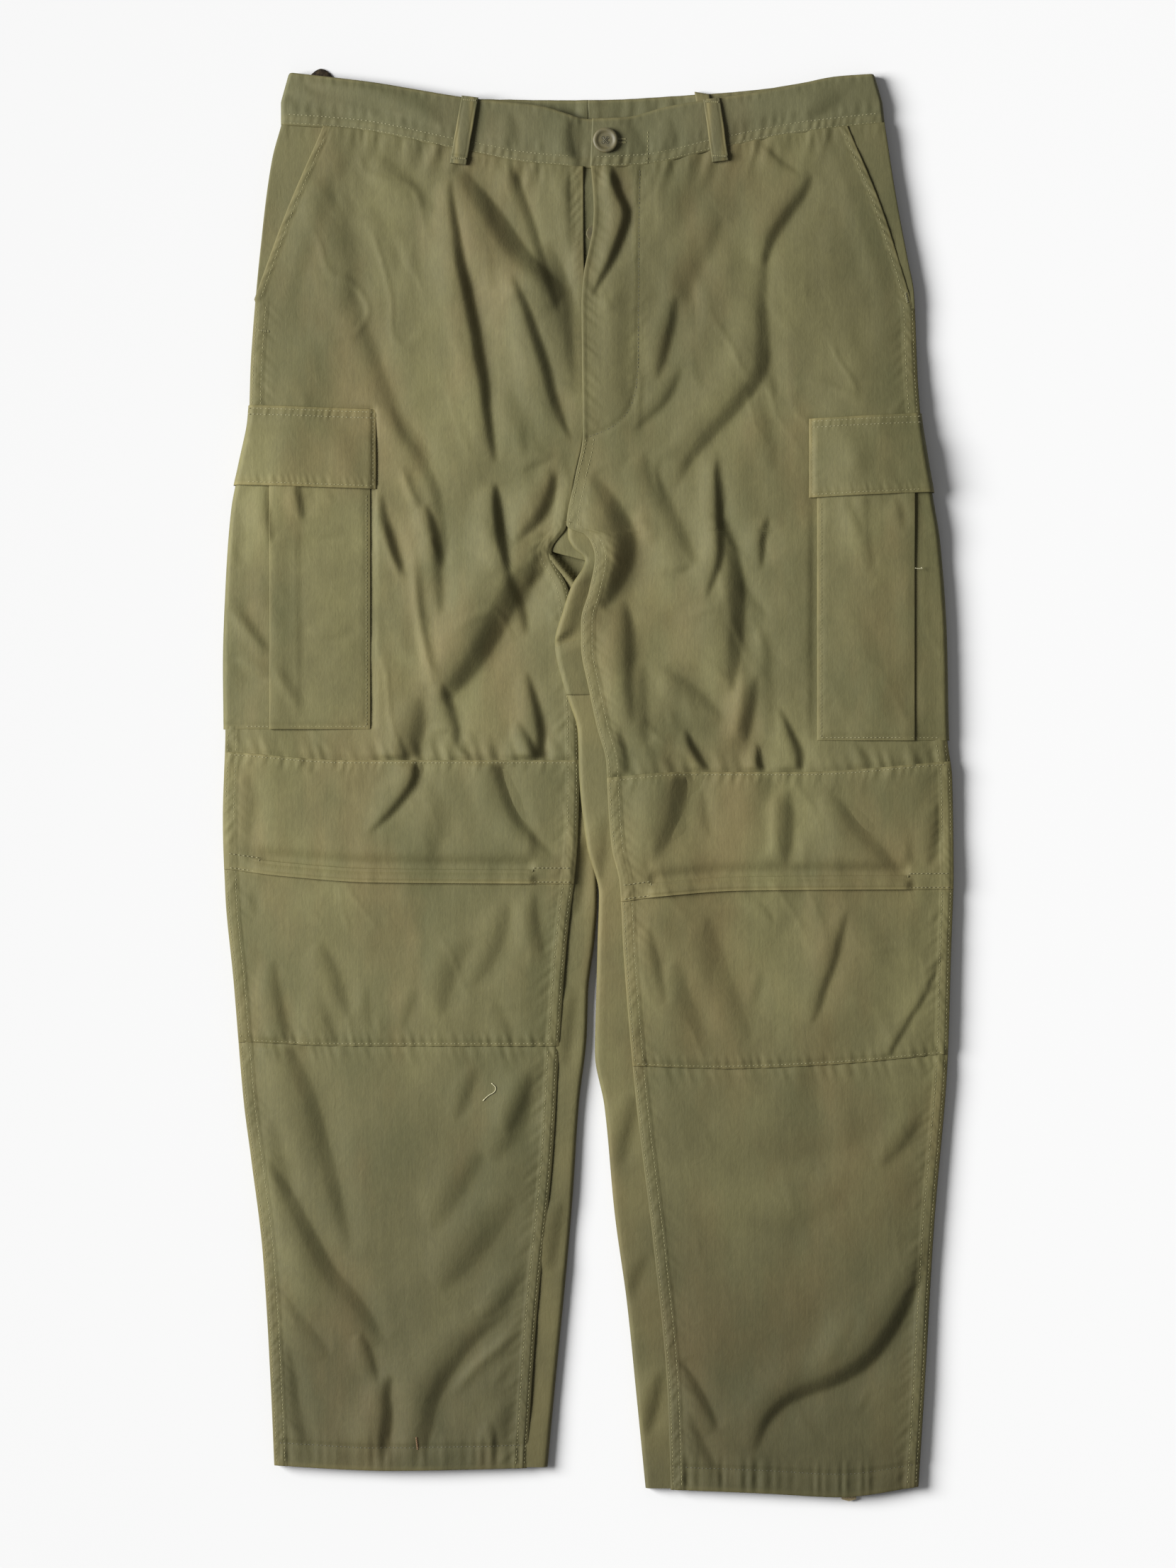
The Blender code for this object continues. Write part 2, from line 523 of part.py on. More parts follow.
def fold_path(first, fold, depth, last, before, after):
    """A path that runs from first to fold, turns back under itself by depth, turns again and runs on to last.
    Gives place along the path's line, layer height (0 is the lowest layer) and normal (along, up)."""
    way = np.sign(last - first)
    r = PLY / 2
    places = [(first + (fold - way * r - first) * k / before, 2 * PLY, 0.0, 1.0) for k in range(before)]
    for k in range(4):
        a = math.pi * k / 3
        places.append((fold - way * r + way * r * math.sin(a), 1.5 * PLY + r * math.cos(a), way * math.sin(a), math.cos(a)))
    back = fold - way * depth
    for k in range(4):
        a = math.pi * k / 3
        places.append((back - way * r * math.sin(a), 0.5 * PLY + r * math.cos(a), way * math.sin(a), -math.cos(a)))
    places += [(back + (last - back) * k / after, 0.0, 0.0, 1.0) for k in range(1, after + 1)]
    return places


def make_patch(leg):
    """The knee patch: one wall from inseam to outseam, with the tuck folded across the knee."""
    cells, above, below = 11, 7, 10
    rows = above + 8 + below
    x = np.zeros((rows, cells + 1))
    down, lift, nd, nz = np.zeros_like(x), np.zeros_like(x), np.zeros_like(x), np.zeros_like(x)
    for c in range(cells + 1):
        guess = np.full(rows, front_in[leg](600.0) * (1 - c / cells) + outseam[leg](600.0) * c / cells)
        for _ in range(5):
            mid = float(np.mean(guess))
            path = fold_path(patch_top[leg](mid), patch_tuck[leg](mid), TUCK, patch_end[leg](mid), above, below)
            d = np.array([p[0] for p in path])
            u = c / cells
            start = front_in[leg](d) + OUTWARD[leg] * 1.0
            end = outseam[leg](d) - OUTWARD[leg] * 1.0
            guess = start * (1 - u) + end * u
        x[:, c], down[:, c] = guess, d
        lift[:, c] = [p[1] for p in path]
        nd[:, c] = [p[2] for p in path]
        nz[:, c] = [p[3] for p in path]
    # Away from the tuck the upper part comes down to the level of a single layer.
    tuck = patch_tuck[leg](x)
    near = 1 - ramp(tuck - down, TUCK + 3, TUCK + 28)
    height = patch_under(leg, x, down) + CLOTH / 2 + lift * near
    middle = np.stack([x, down, height], axis=-1)
    normal = np.stack([np.zeros_like(x), nd, nz], axis=-1)
    return wall("knee_patch_" + leg, middle, normal, CLOTH)


def round_side(x_end, low, high, outward, bulge, steps):
    """The middle of a wall that goes from the height high round the side to the height low, row by row."""
    half = (high - low) / 2
    out = []
    for k in range(1, steps + 1):
        a = math.pi * k / steps
        nx, nz = math.sin(a) * half, math.cos(a) * bulge
        size = np.hypot(nx, nz)
        out.append((x_end + outward * bulge * math.sin(a), low + half * (1 + math.cos(a)), outward * nx / size, nz / size))
    return out


def make_pouch(leg):
    """The cargo pouch: over the front, round the side and a little way under the leg, with one knife pleat."""
    pocket, out = POCKET[leg], OUTWARD[leg]
    bulge, rows = 3.0, 8
    down = np.array([pocket["mouth"], 314, 342, 372, 402, 434, 466, pocket["bottom"]])
    columns = []
    end = side[leg](down) + out * (CLOTH / 2 + SEAM * 3) - out * bulge
    path = fold_path(pocket["edge"], pocket["pleat"], PLEAT, pocket["pleat"] + out * 22.0, 5, 3)
    last_place = path[-1][0]
    for place, lift, nx, nz in path:
        along = (place - (pocket["pleat"] - out * PLEAT)) / (last_place - (pocket["pleat"] - out * PLEAT))
        shift = (end - last_place) * np.clip(along, 0, 1) if lift == 0.0 and nx == 0.0 else 0.0
        x = place + shift * np.ones(rows)
        rise = ramp(out * (x - pocket["edge"]), 0, 45) if lift == 2 * PLY and nx == 0.0 else 1.0
        z = pouch_under(leg, x, down) + CLOTH / 2 + lift * rise
        columns.append((x, z, nx * np.ones(rows), nz * np.ones(rows)))
    flap_under, _ = under_pocket(leg, side[leg](down), down)
    low = CLOTH / 2 + flap_under
    for x, z, nx, nz in round_side(end, low, columns[-1][1], out, bulge, 5):
        columns.append((x, z, nx, nz))
    lip = end - out * (LIP[leg] - bulge)
    columns.append((lip, CLOTH / 2 + flap_under, np.zeros(rows), -np.ones(rows)))
    x, z, nx, nz = (np.stack([np.broadcast_to(col[i], rows) for col in columns], axis=1) for i in range(4))
    middle = np.stack([x, np.broadcast_to(down[:, None], x.shape), z], axis=-1)
    normal = np.stack([nx, np.zeros_like(nx), nz], axis=-1)
    return wall("cargo_pouch_" + leg, middle, normal, CLOTH)


def make_flap(leg):
    """The pocket flap: two layers over the pouch's mouth, round the side and a little way under the leg."""
    pocket, out = POCKET[leg], OUTWARD[leg]
    bulge, rows, across = 4.0, 5, 6
    tilt = {"r": 3.0, "l": 4.0}[leg]
    columns = []
    d0 = np.linspace(pocket["flap_top"], pocket["flap_end"], rows)
    end = side[leg](d0) + out * (FLAP / 2 + CLOTH + 5 * SEAM) - out * bulge
    for c in range(across + 1):
        u = c / across
        x = pocket["flap_edge"] + (end - pocket["flap_edge"]) * u
        d = d0 + tilt * (0.5 - u)
        over = ramp(d, pocket["mouth"] - 30, pocket["mouth"] - 14)
        over = over * ramp(out * (x - pocket["edge"]), -6, -1)
        inward = ramp(out * (x - pocket["edge"]), -12, 34) * (1 - ramp(out * (x - pocket["pleat"]), 16, 34))
        pile = over * (CLOTH + 3 * OVER + 2 * PLY * inward) + (1 - over) * OVER
        z = base(leg, x, d) + REST + CLOTH + pile + FLAP / 2
        columns.append((x, d, z, np.zeros(rows), np.ones(rows)))
    x_end, d_end, z_end = columns[-1][:3]
    for x, z, nx, nz in round_side(x_end, FLAP / 2, z_end, out, bulge, 5):
        columns.append((x, d_end, z, nx, nz))
    columns.append((x_end - out * (LIP[leg] - bulge), d_end, FLAP / 2 * np.ones(rows), np.zeros(rows), -np.ones(rows)))
    x, d, z, nx, nz = (np.stack([np.broadcast_to(col[i], rows) for col in columns], axis=1) for i in range(5))
    middle = np.stack([x, d, z], axis=-1)
    normal = np.stack([nx, np.zeros_like(nx), nz], axis=-1)
    return wall("cargo_flap_" + leg, middle, normal, FLAP)


def make_facing(leg):
    """The piece of cloth that shows outside the slanted pocket edge."""
    out = OUTWARD[leg]
    rows, cells = 8, 3
    t = np.linspace(0, 1, rows)
    x, down = np.zeros((rows, cells + 1)), np.zeros((rows, cells + 1))
    for c in range(cells + 1):
        u = c / cells
        down[:, c] = 50 + 130 * t
        for _ in range(6):
            start, end = slant[leg](down[:, c]) - out * 15.0, outseam[leg](down[:, c])
            x[:, c] = start * (1 - u) + end * u
            down[:, c] = (front_band_seam(x[:, c]) + SEAM) * (1 - t) + (SLANT_FOOT + 4) * t
    return flat_wall("pocket_facing_" + leg, x, down, REST + base(leg, x, down), CLOTH)


def band_lift(x):
    """The back of the waistband lies over the back belt loops and the take-up buckle."""
    lift = np.zeros_like(x)
    for centre, half, height in BAND_RIDES:
        lift = np.maximum(lift, height * (1 - ramp(np.abs(x - centre), half + 12, half + 32)))
    return lift


LOOP_WIDE, LOOP_THICK = 11.8, 1.3
BACK_LOOPS = {"r": -100.0, "c": 0.0, "l": 87.0}
BUCKLE_AT = (-202.0, 6.0)
BAND_RIDES = [(x, LOOP_WIDE / 2 + 2.5, LOOP_THICK + SEAM) for x in BACK_LOOPS.values()]
BAND_RIDES.append((-194.0, 22.0, 1.5 + SEAM))


def make_band(leg):
    """Half of the waistband: from the centre front round the side to the centre back, folded double."""
    out = OUTWARD[leg]
    rows, front_cells, back_cells, steps = 4, 14, 14, 5
    bulge = 2.6
    start = 14.0 if leg == "r" else 2.0
    w = np.linspace(0, 1, rows)
    corner_x = np.interp(w, [0, 0.45, 1], {"r": (-232, -232, -226), "l": (224, 222, 216)}[leg])
    end = corner_x - out * bulge
    columns = []
    for c in range(front_cells + 1):
        x = start + (end - start) * c / front_cells
        if leg == "l" and c == 0:
            x = 1.5 + 1.5 * w
        d = front_band_seam(x) * (1 - w) + front_band_top(x) * w
        rise = FLY_RISE * (1 - ramp(x, 17, 38)) if leg == "l" else 0.0
        columns.append((x, d, REST + BAND / 2 + rise + 0 * x, 0 * x, 0 * x + 1))
    x_end, d_end, z_end = columns[-1][:3]
    for x, z, nx, nz in round_side(x_end, BAND / 2 + band_lift(x_end), z_end, out, bulge, steps):
        columns.append((x, d_end, z, nx, nz))
    middle_back = 0.2 * out
    for c in range(1, back_cells + 1):
        x = end + (middle_back - end) * c / back_cells
        d = back_band_seam(x) * (1 - w) + back_band_top(x) * w
        columns.append((x, d, BAND / 2 + band_lift(x), 0 * x, 0 * x - 1))
    x, d, z, nx, nz = (np.stack([np.broadcast_to(col[i], rows) for col in columns], axis=1) for i in range(5))
    middle = np.stack([x, d, z], axis=-1)
    normal = np.stack([nx, np.zeros_like(nx), nz], axis=-1)
    return wall("waistband_" + leg, middle, normal, BAND)


def make_front_loop(leg):
    """A front belt loop: a strip that stands off the waistband between its two sewn ends."""
    (x0, d0), (x1, d1) = {"r": ((-91.5, 19.5), (-98.0, 69.0)), "l": ((93.0, 20.5), (99.5, 67.0))}[leg]
    t = np.linspace(0, 1, 9)[:, None]
    across = np.linspace(-0.5, 0.5, 3)[None, :] * LOOP_WIDE
    x = x0 + (x1 - x0) * t + across
    d = d0 + (d1 - d0) * t + 0.0 * across - 0.12 * across * np.sign(x1 - x0)
    stand = 1.6 * np.sin(np.clip((t - 0.06) / 0.8, 0, 1) * math.pi) ** 0.7
    drop = -0.9 * ramp(d, front_band_seam(x) + 1.0, front_band_seam(x) + 5.0)
    under = REST + BAND + SEAM + stand + 0.0 * across
    under = under + np.where(t > 0.95, drop, 0.0)
    return flat_wall("belt_loop_front_" + leg, x, d, under, LOOP_THICK)


def make_back_loop(place):
    """A hidden belt loop on the outside of the back: it lies under the waistband and ends in the band's seam."""
    centre = BACK_LOOPS[place]
    lean = {"r": 3.0, "c": 0.0, "l": -4.0}[place]
    t = np.linspace(0, 1, 4)[:, None]
    across = np.linspace(-0.5, 0.5, 3)[None, :] * LOOP_WIDE
    x = centre + across + lean * (1 - t)
    top, end = back_band_top(np.array(centre)) - 1.6, back_band_seam(np.array(centre)) - 1.0
    d = top + (end - top) * t + 0.0 * across + 0.1 * across * np.sign(lean)
    return flat_wall("belt_loop_back_" + place, x, d, np.zeros_like(x), LOOP_THICK)


def make_underlap():
    """The fly's underlap, glimpsed between the two fronts."""
    t = np.linspace(0, 1, 12)[:, None]
    down = 73.5 + (271.0 - 73.5) * t + np.zeros((1, 4))
    u = np.linspace(0, 1, 4)[None, :]
    x = (-16 + 3 * t) * (1 - u) + (13 - 3 * t) * u
    return flat_wall("fly_underlap", x, down, np.full_like(x, REST - SEAM - 0.1 - CLOTH), CLOTH)


def make_seat_patch():
    """The end of the seat reinforcement where it comes round the left leg's inner edge."""
    rows, cells = 9, 2
    down = np.linspace(398.0, 469.0, rows)[:, None] + np.zeros((1, cells + 1))
    u = np.linspace(0, 1, cells + 1)[None, :]
    start = inner["l"](down) + 1.2
    end = front_in["l"](down) - SEAM
    x = start * (1 - u) + end * u
    under = base("l", x, down) + CLOTH + 2 * TURN + SEAM
    return flat_wall("seat_patch_l", x, down, under, CLOTH)


def lathe(name, profile, centre, turns, finish):
    """A round solid: profile is (radius, height) from the axis out and back to it."""
    x0, d0 = centre
    points, faces = [], []
    ring = []
    for radius, height in profile:
        if radius == 0:
            ring.append([len(points)])
            points.append((x0, d0, height))
        else:
            ring.append(list(range(len(points), len(points) + turns)))
            for k in range(turns):
                a = 2 * math.pi * k / turns
                points.append((x0 + radius * math.cos(a), d0 - radius * math.sin(a), height))
    for low, high in zip(ring, ring[1:]):
        for k in range(turns):
            j = (k + 1) % turns
            if len(low) == 1:
                faces.append((low[0], high[j], high[k]))
            elif len(high) == 1:
                faces.append((low[k], low[j], high[0]))
            else:
                faces.append((low[k], low[j], high[j], high[k]))
    return add_object(name, np.array(points), faces, finish)


def make_button(name, centre, under, radius, thick, holes, turns):
    """A sew-through button with a raised rim and four holes."""
    rim, well = radius * 0.62, thick * 0.72
    profile = [(0, under), (radius * 0.86, under), (radius, under + thick * 0.35), (radius * 0.97, under + thick * 0.8),
               (radius * 0.86, under + thick), (rim, under + thick * 0.92), (rim * 0.8, under + well), (0, under + well)]
    body = lathe(name, profile, centre, turns, "plastic")
    if not holes:
        return body
    cutters = []
    for k in range(4):
        a = math.pi / 4 + k * math.pi / 2
        spot = (centre[0] + holes * math.cos(a), centre[1] + holes * math.sin(a))
        hole = lathe(f"{name}_hole_{k}", [(0, under - 1), (0.95, under - 1), (0.95, under + thick + 1),
                                          (0, under + thick + 1)], spot, 8, "plastic")
        hole.hide_render = True
        hole.display_type = "WIRE"
        cutters.append(hole)
    for hole in cutters:
        cut = body.modifiers.new("hole", "BOOLEAN")
        cut.operation = "DIFFERENCE"
        cut.solver = "EXACT"
        cut.object = hole
    return body


def make_buckle():
    """The slide buckle of the side take-up: a wire frame with rounded corners, turned so that one corner shows."""
    wide, high, wire, corner = 17.0, 17.0, 2.2, 3.5
    angle = math.radians(40)

    def outline(w, h, r):
        pts = []
        for sx, sy, start in ((1, 1, 0), (-1, 1, 90), (-1, -1, 180), (1, -1, 270)):
            for k in range(4):
                a = math.radians(start + 30 * k)
                pts.append((sx * (w / 2 - r) + r * math.cos(a), sy * (h / 2 - r) + r * math.sin(a)))
        return pts

    outer, hole = outline(wide, high, corner), outline(wide - 2 * wire, high - 2 * wire, corner - wire)
    n = len(outer)
    points, faces = [], []
    for height in (0.0, 1.5):
        for px, py in outer + hole:
            x = BUCKLE_AT[0] + px * math.cos(angle) - py * math.sin(angle)
            d = BUCKLE_AT[1] - (px * math.sin(angle) + py * math.cos(angle))
            points.append((x, d, height))
    for k in range(n):
        j = (k + 1) % n
        o, i, up = 0, n, 2 * n
        faces.append((o + j, o + k, i + k, i + j))
        faces.append((up + k, up + j, up + n + j, up + n + k))
        faces.append((o + k, o + j, up + j, up + k))
        faces.append((i + j, i + k, up + n + k, up + n + j))
    return add_object("tab_buckle", np.array(points), faces, "brass")


def make_tab():
    """The take-up strap: from the side along the outside of the back waistband to the buckle."""
    t = np.linspace(0, 1, 5)[:, None]
    across = np.linspace(-0.5, 0.5, 3)[None, :] * 20.0
    x = -188.0 + 14.0 * t + 0.0 * across
    d = 17.0 + 5.0 * t + across * (0.9 + 0.1 * t)
    return flat_wall("waist_tab", x, d, np.zeros_like(x), CLOTH)


def make_hem_tape():
    """The end of the hem's tie tape, caught in the left hem."""
    t = np.linspace(0, 1, 3)[:, None]
    across = np.linspace(-0.5, 0.5, 3)[None, :] * 11.0
    x = 196.0 + across + 1.0 * t
    d = 1064.0 + 14.5 * t + 0.0 * across - 1.5 * t * (across / 5.5) ** 2
    return flat_wall("hem_tape_l", x, d, np.full_like(x, 1.9), 0.9, "tape")


# ---------------------------------------------------------------- build
def build():
    for old in list(bpy.data.objects):
        bpy.data.objects.remove(old, do_unlink=True)
    made = []
    for leg in ("r", "l"):
        made += [make_back(leg), make_front(leg), make_patch(leg), make_pouch(leg), make_flap(leg)]
        made += [make_facing(leg), make_band(leg), make_front_loop(leg)]
    made += [make_back_loop(place) for place in BACK_LOOPS]
    made += [make_underlap(), make_seat_patch(), make_tab(), make_buckle(), make_hem_tape()]
    made.append(make_button("waist_button", (13.0, 52.0), REST + FLY_RISE + BAND + SEAM, 9.5, 3.4, 2.3, 24))
    made.append(make_button("fly_button", (-0.5, 121.0), REST - 0.1, 6.0, 1.9, 0, 10))
    centre_garment(made)


def centre_garment(made):
    """The garment's reference point is the middle of its box, on the surface it lies on."""
    corners = np.array([tuple(v.co) for thing in made for v in thing.data.vertices])
    low, high = corners.min(axis=0), corners.max(axis=0)
    for thing in bpy.data.objects:
        thing.location.x -= float(low[0] + high[0]) / 2
        thing.location.y -= float(low[1] + high[1]) / 2


build()
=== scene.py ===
"""The looks of a pair of washed cotton sateen cargo trousers that lie flat with the front up.

A place on the garment is (x, down) in millimetres: x runs from the middle line towards the wearer's left leg,
and down runs from the highest corner of the waistband towards the hems. Heights are above the floor, in
millimetres too. The leg "r" is the wearer's right, the leg "l" the wearer's left.
"""

import math
from functools import partial

import bpy
import numpy as np
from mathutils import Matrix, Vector


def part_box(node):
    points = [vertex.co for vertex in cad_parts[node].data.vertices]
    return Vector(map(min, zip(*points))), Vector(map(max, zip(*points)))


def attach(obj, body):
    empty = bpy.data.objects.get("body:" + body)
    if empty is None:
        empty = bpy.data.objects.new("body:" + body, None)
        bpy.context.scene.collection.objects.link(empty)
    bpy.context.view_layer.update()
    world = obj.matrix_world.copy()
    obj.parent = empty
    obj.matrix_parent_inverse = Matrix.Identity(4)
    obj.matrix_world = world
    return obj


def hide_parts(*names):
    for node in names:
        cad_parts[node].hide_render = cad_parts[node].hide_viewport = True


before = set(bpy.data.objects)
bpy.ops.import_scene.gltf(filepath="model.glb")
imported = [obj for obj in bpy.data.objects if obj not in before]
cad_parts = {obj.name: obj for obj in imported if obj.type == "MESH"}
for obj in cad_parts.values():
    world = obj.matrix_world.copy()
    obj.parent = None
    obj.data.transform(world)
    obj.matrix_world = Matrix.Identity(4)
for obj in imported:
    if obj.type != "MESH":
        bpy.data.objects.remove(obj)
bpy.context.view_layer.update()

MM = 0.001
LEGS = ("r", "l")
OUTWARD = {"r": -1.0, "l": 1.0}

# ---------------------------------------------------------------- sizes of the garment, mm
CLOTH = 1.0  # the cloth's thickness as it lies
BAND = 2.0  # the waistband's, folded double
REST = 7.6  # underside of a front panel above the floor, the cloth's own loft included
TURN = 3.0  # how round the back panels turn up at the sides
LAP = 9.4  # a felled seam's lap
ROW_IN, ROW_OUT = 1.7, 8.0  # the two stitch rows of a felled seam, from its edge
BAND_ROWS = (2.2, 8.6)  # the waistband's stitch rows, from its seam
FLAP_ROWS = (2.0, 6.4)  # the flap's, from its top
PLY = 1.3  # from one layer of a tuck or pleat to the next
TUCK = 10.0  # how deep the knee's tuck is
PLEAT = 23.0  # how deep the pouch's pleat is
FLY_RISE = 2.0  # how far the left front stands up over the fly
SLANT_RISE = 1.0  # and both fronts at the slanted pocket edge
HIGH = 5.8  # how far the left leg is raised over the right one
HEM_DEEP = 17.0  # how deep the hem is turned up
HEM_LEAST = {"r": 1048.0, "l": 1064.0}  # where the seams' stitch rows end
LIP = {"r": 22.0, "l": 45.0}  # how far the pocket's cloth goes back under the leg
PITCH = 3.0  # from one stitch to the next
BUTTON_AT = (13.0, 52.0)
FLY_BUTTON_AT = (4.6, 121.5)
HIDDEN_FLY_BUTTON_AT = (16.5, 173.0)  # only its lump in the cloth shows
HIDDEN_FLAP_BUTTON_AT = (201.0, 294.0)
FLAP_LEAN = {"r": 3.0, "l": 4.0}  # how far the flap drops from its front edge to the side
FLAP_LEVEL = 285.0  # the level at which the flap's width is taken
KNEE_LEVEL = 600.0  # and the knee patch's
SEAM_ROUND = {"r": (0.5, 0.9), "l": (0.9, 0.3)}  # how round the outseam's and the inseam's edges are
TUCK_ENDS = {"r": (-248.0, -42.0), "l": (47.0, 241.0)}  # where stitches close the tuck
TUCK_OPENS = {"r": (18, 14), "l": (4, 3)}  # how slowly it opens from the outer one, before and after
# Belt loops: the top and the foot of each front one, and the foot and the top of each back one.
LOOPS = {"r": ((-89.0, 19.0), (-98.0, 69.0)), "l": ((93.0, 20.5), (99.5, 67.0))}
BACK_LOOPS = {"r": (-96.0, 56.0, -98.0, 20.5), "c": (0.0, 58.0, 0.0, 22.0), "l": (84.0, 54.0, 86.0, 15.8)}
LOOP_WIDE = 11.6  # how wide a front one is

POCKET = {
    "r": dict(edge=-164.5, pleat=-240.0, mouth=287.0, bottom=495.0, flap_edge=-160.0, flap_top=253.0,
              flap_end=312.5),
    "l": dict(edge=173.0, pleat=246.0, mouth=292.0, bottom=503.5, flap_edge=167.0, flap_top=259.5,
              flap_end=318.5),
}

# Where each piece's random waves start, so that no two pieces share theirs.
SEEDS = {
    "front": {"r": 100, "l": 200}, "patch": {"r": 300, "l": 400}, "pouch": {"r": 500, "l": 600},
    "flap": {"r": 700, "l": 800}, "band": {"r": 900, "l": 950}, "back": {"r": 1000, "l": 1100},
    "swell": {"r": 2000, "l": 2100}, "wear": {"r": 40, "l": 60}, "facing": {"r": 31, "l": 33},
}

# Lines of the cut: (x, down) points.
SIDE = {
    "r": [(-232, 40), (-239, 66), (-248, 136), (-251, 167), (-255, 223), (-256, 261), (-262, 298),
          (-268, 330), (-272.4, 387), (-274.4, 448), (-274, 495), (-276, 561), (-274, 622), (-268, 684),
          (-260, 779), (-255, 817), (-246, 890), (-240, 988), (-237, 1056)],
    "l": [(224, 39), (233, 96), (242, 144), (246, 165), (249, 235), (251, 262), (253, 280), (258, 316),
          (264.5, 357), (269.5, 429), (271, 500), (275, 533), (276, 602), (274, 667), (272, 737),
          (261, 875), (255, 979), (249, 1076)],
}
SLANT = {"r": [(-199, 40), (-227, 105), (-252, 173)], "l": [(194, 38), (220, 100), (243.5, 173)]}
SLANT_FOOT = 173.0
FRONT_IN = {  # the front's inner edge: centre front, crotch and inseam
    "r": [(-4, 68), (-3.8, 125), (-3.2, 160), (-2.6, 250), (-4.0, 272), (-11.4, 309), (-16.5, 342),
          (-28, 361), (-15, 391), (-10, 426), (-7, 533), (-8, 577), (-11, 612), (-14, 635), (-17, 664),
          (-22, 734), (-27, 817), (-39, 939), (-47, 1056)],
    "l": [(2.2, 68), (3.6, 84), (4.6, 104), (3.8, 118), (1.2, 132), (-2.9, 152), (-4.6, 175), (-4.2, 217),
          (-3.6, 272), (-10.5, 309), (-16.0, 342), (-13.5, 344.5), (-4, 347.5), (2.6, 355), (5.4, 365.6),
          (1, 391), (-5, 414), (-5, 432), (1, 466), (7, 494), (14, 521), (15, 544), (18, 584), (24, 611),
          (27, 664), (36, 771), (50, 888), (60, 992), (63, 1076)],
}
INNER = {  # the leg's inner edge, where the back comes round
    "r": [(-3, 60), (-17, 342), (-6, 356), (-2, 372), (-2, 400), (0, 453), (3, 533), (7, 622), (5, 653),
          (0, 694), (-1, 725), (-7, 779), (-12, 853), (-27, 1013), (-31, 1056)],
    "l": [(3, 60), (-15.6, 341), (-15.4, 350), (-11, 359), (-2.4, 367.6), (-13, 388), (-19, 406), (-25, 430),
          (-17, 467), (-8, 498), (-7, 529), (-1, 584), (8, 620), (7, 654), (6, 694), (5, 740), (12, 779),
          (20, 862), (29, 927), (37, 1005), (44, 1076)],
}
CURL = {"r": (352, 400), "l": (334, 342)}  # the levels between which the back turns up there
LIP_GROWS = {"r": (392, 430), "l": (336, 343)}  # and reaches the inseam
HEM_EDGE = {
    "r": [(-240, 1050), (-155, 1054), (-31, 1052)],
    "l": [(44, 1068), (129, 1071), (189, 1074), (252, 1066)],
}
FRONT_BAND_SEAM = [(-232, 40), (-176, 44), (-99, 59), (-37, 70), (5, 72.5), (38, 71), (100, 58), (155, 47),
                   (224, 39)]
FRONT_BAND_TOP = [(-226, 0), (-166, 7), (-92, 19), (-37, 25), (3, 35), (27, 34), (59, 26), (93, 20),
                  (145, 12), (188, 3), (216, 1)]
BACK_BAND_SEAM = [(-232, 40), (-144, 52), (-83, 58), (0, 60), (64, 57), (128, 51), (188, 43), (224, 39)]
BACK_BAND_TOP = [(-226, 0), (-144, 13), (-83, 19), (0, 20), (64, 17), (128, 12), (188, 3), (216, 1)]
PATCH_TOP = {"r": [(-267, 513), (-181, 519), (-8, 519)], "l": [(14, 533), (73, 528), (159, 528), (274, 520)]}
PATCH_TUCK = {"r": [(-271, 601), (-232, 606), (-160, 611), (-10, 612)],
              "l": [(24, 625), (46, 622), (118, 617), (274, 616)]}
PATCH_END = {"r": [(-261, 731), (-181, 734), (-22, 734)], "l": [(32, 749), (97, 751), (179, 748), (272, 740)]}
FLY_J = [(39, 73), (38.3, 100), (37.6, 200), (37.8, 222), (35.3, 245), (27.5, 260.5), (15.7, 269.3), (0, 275)]

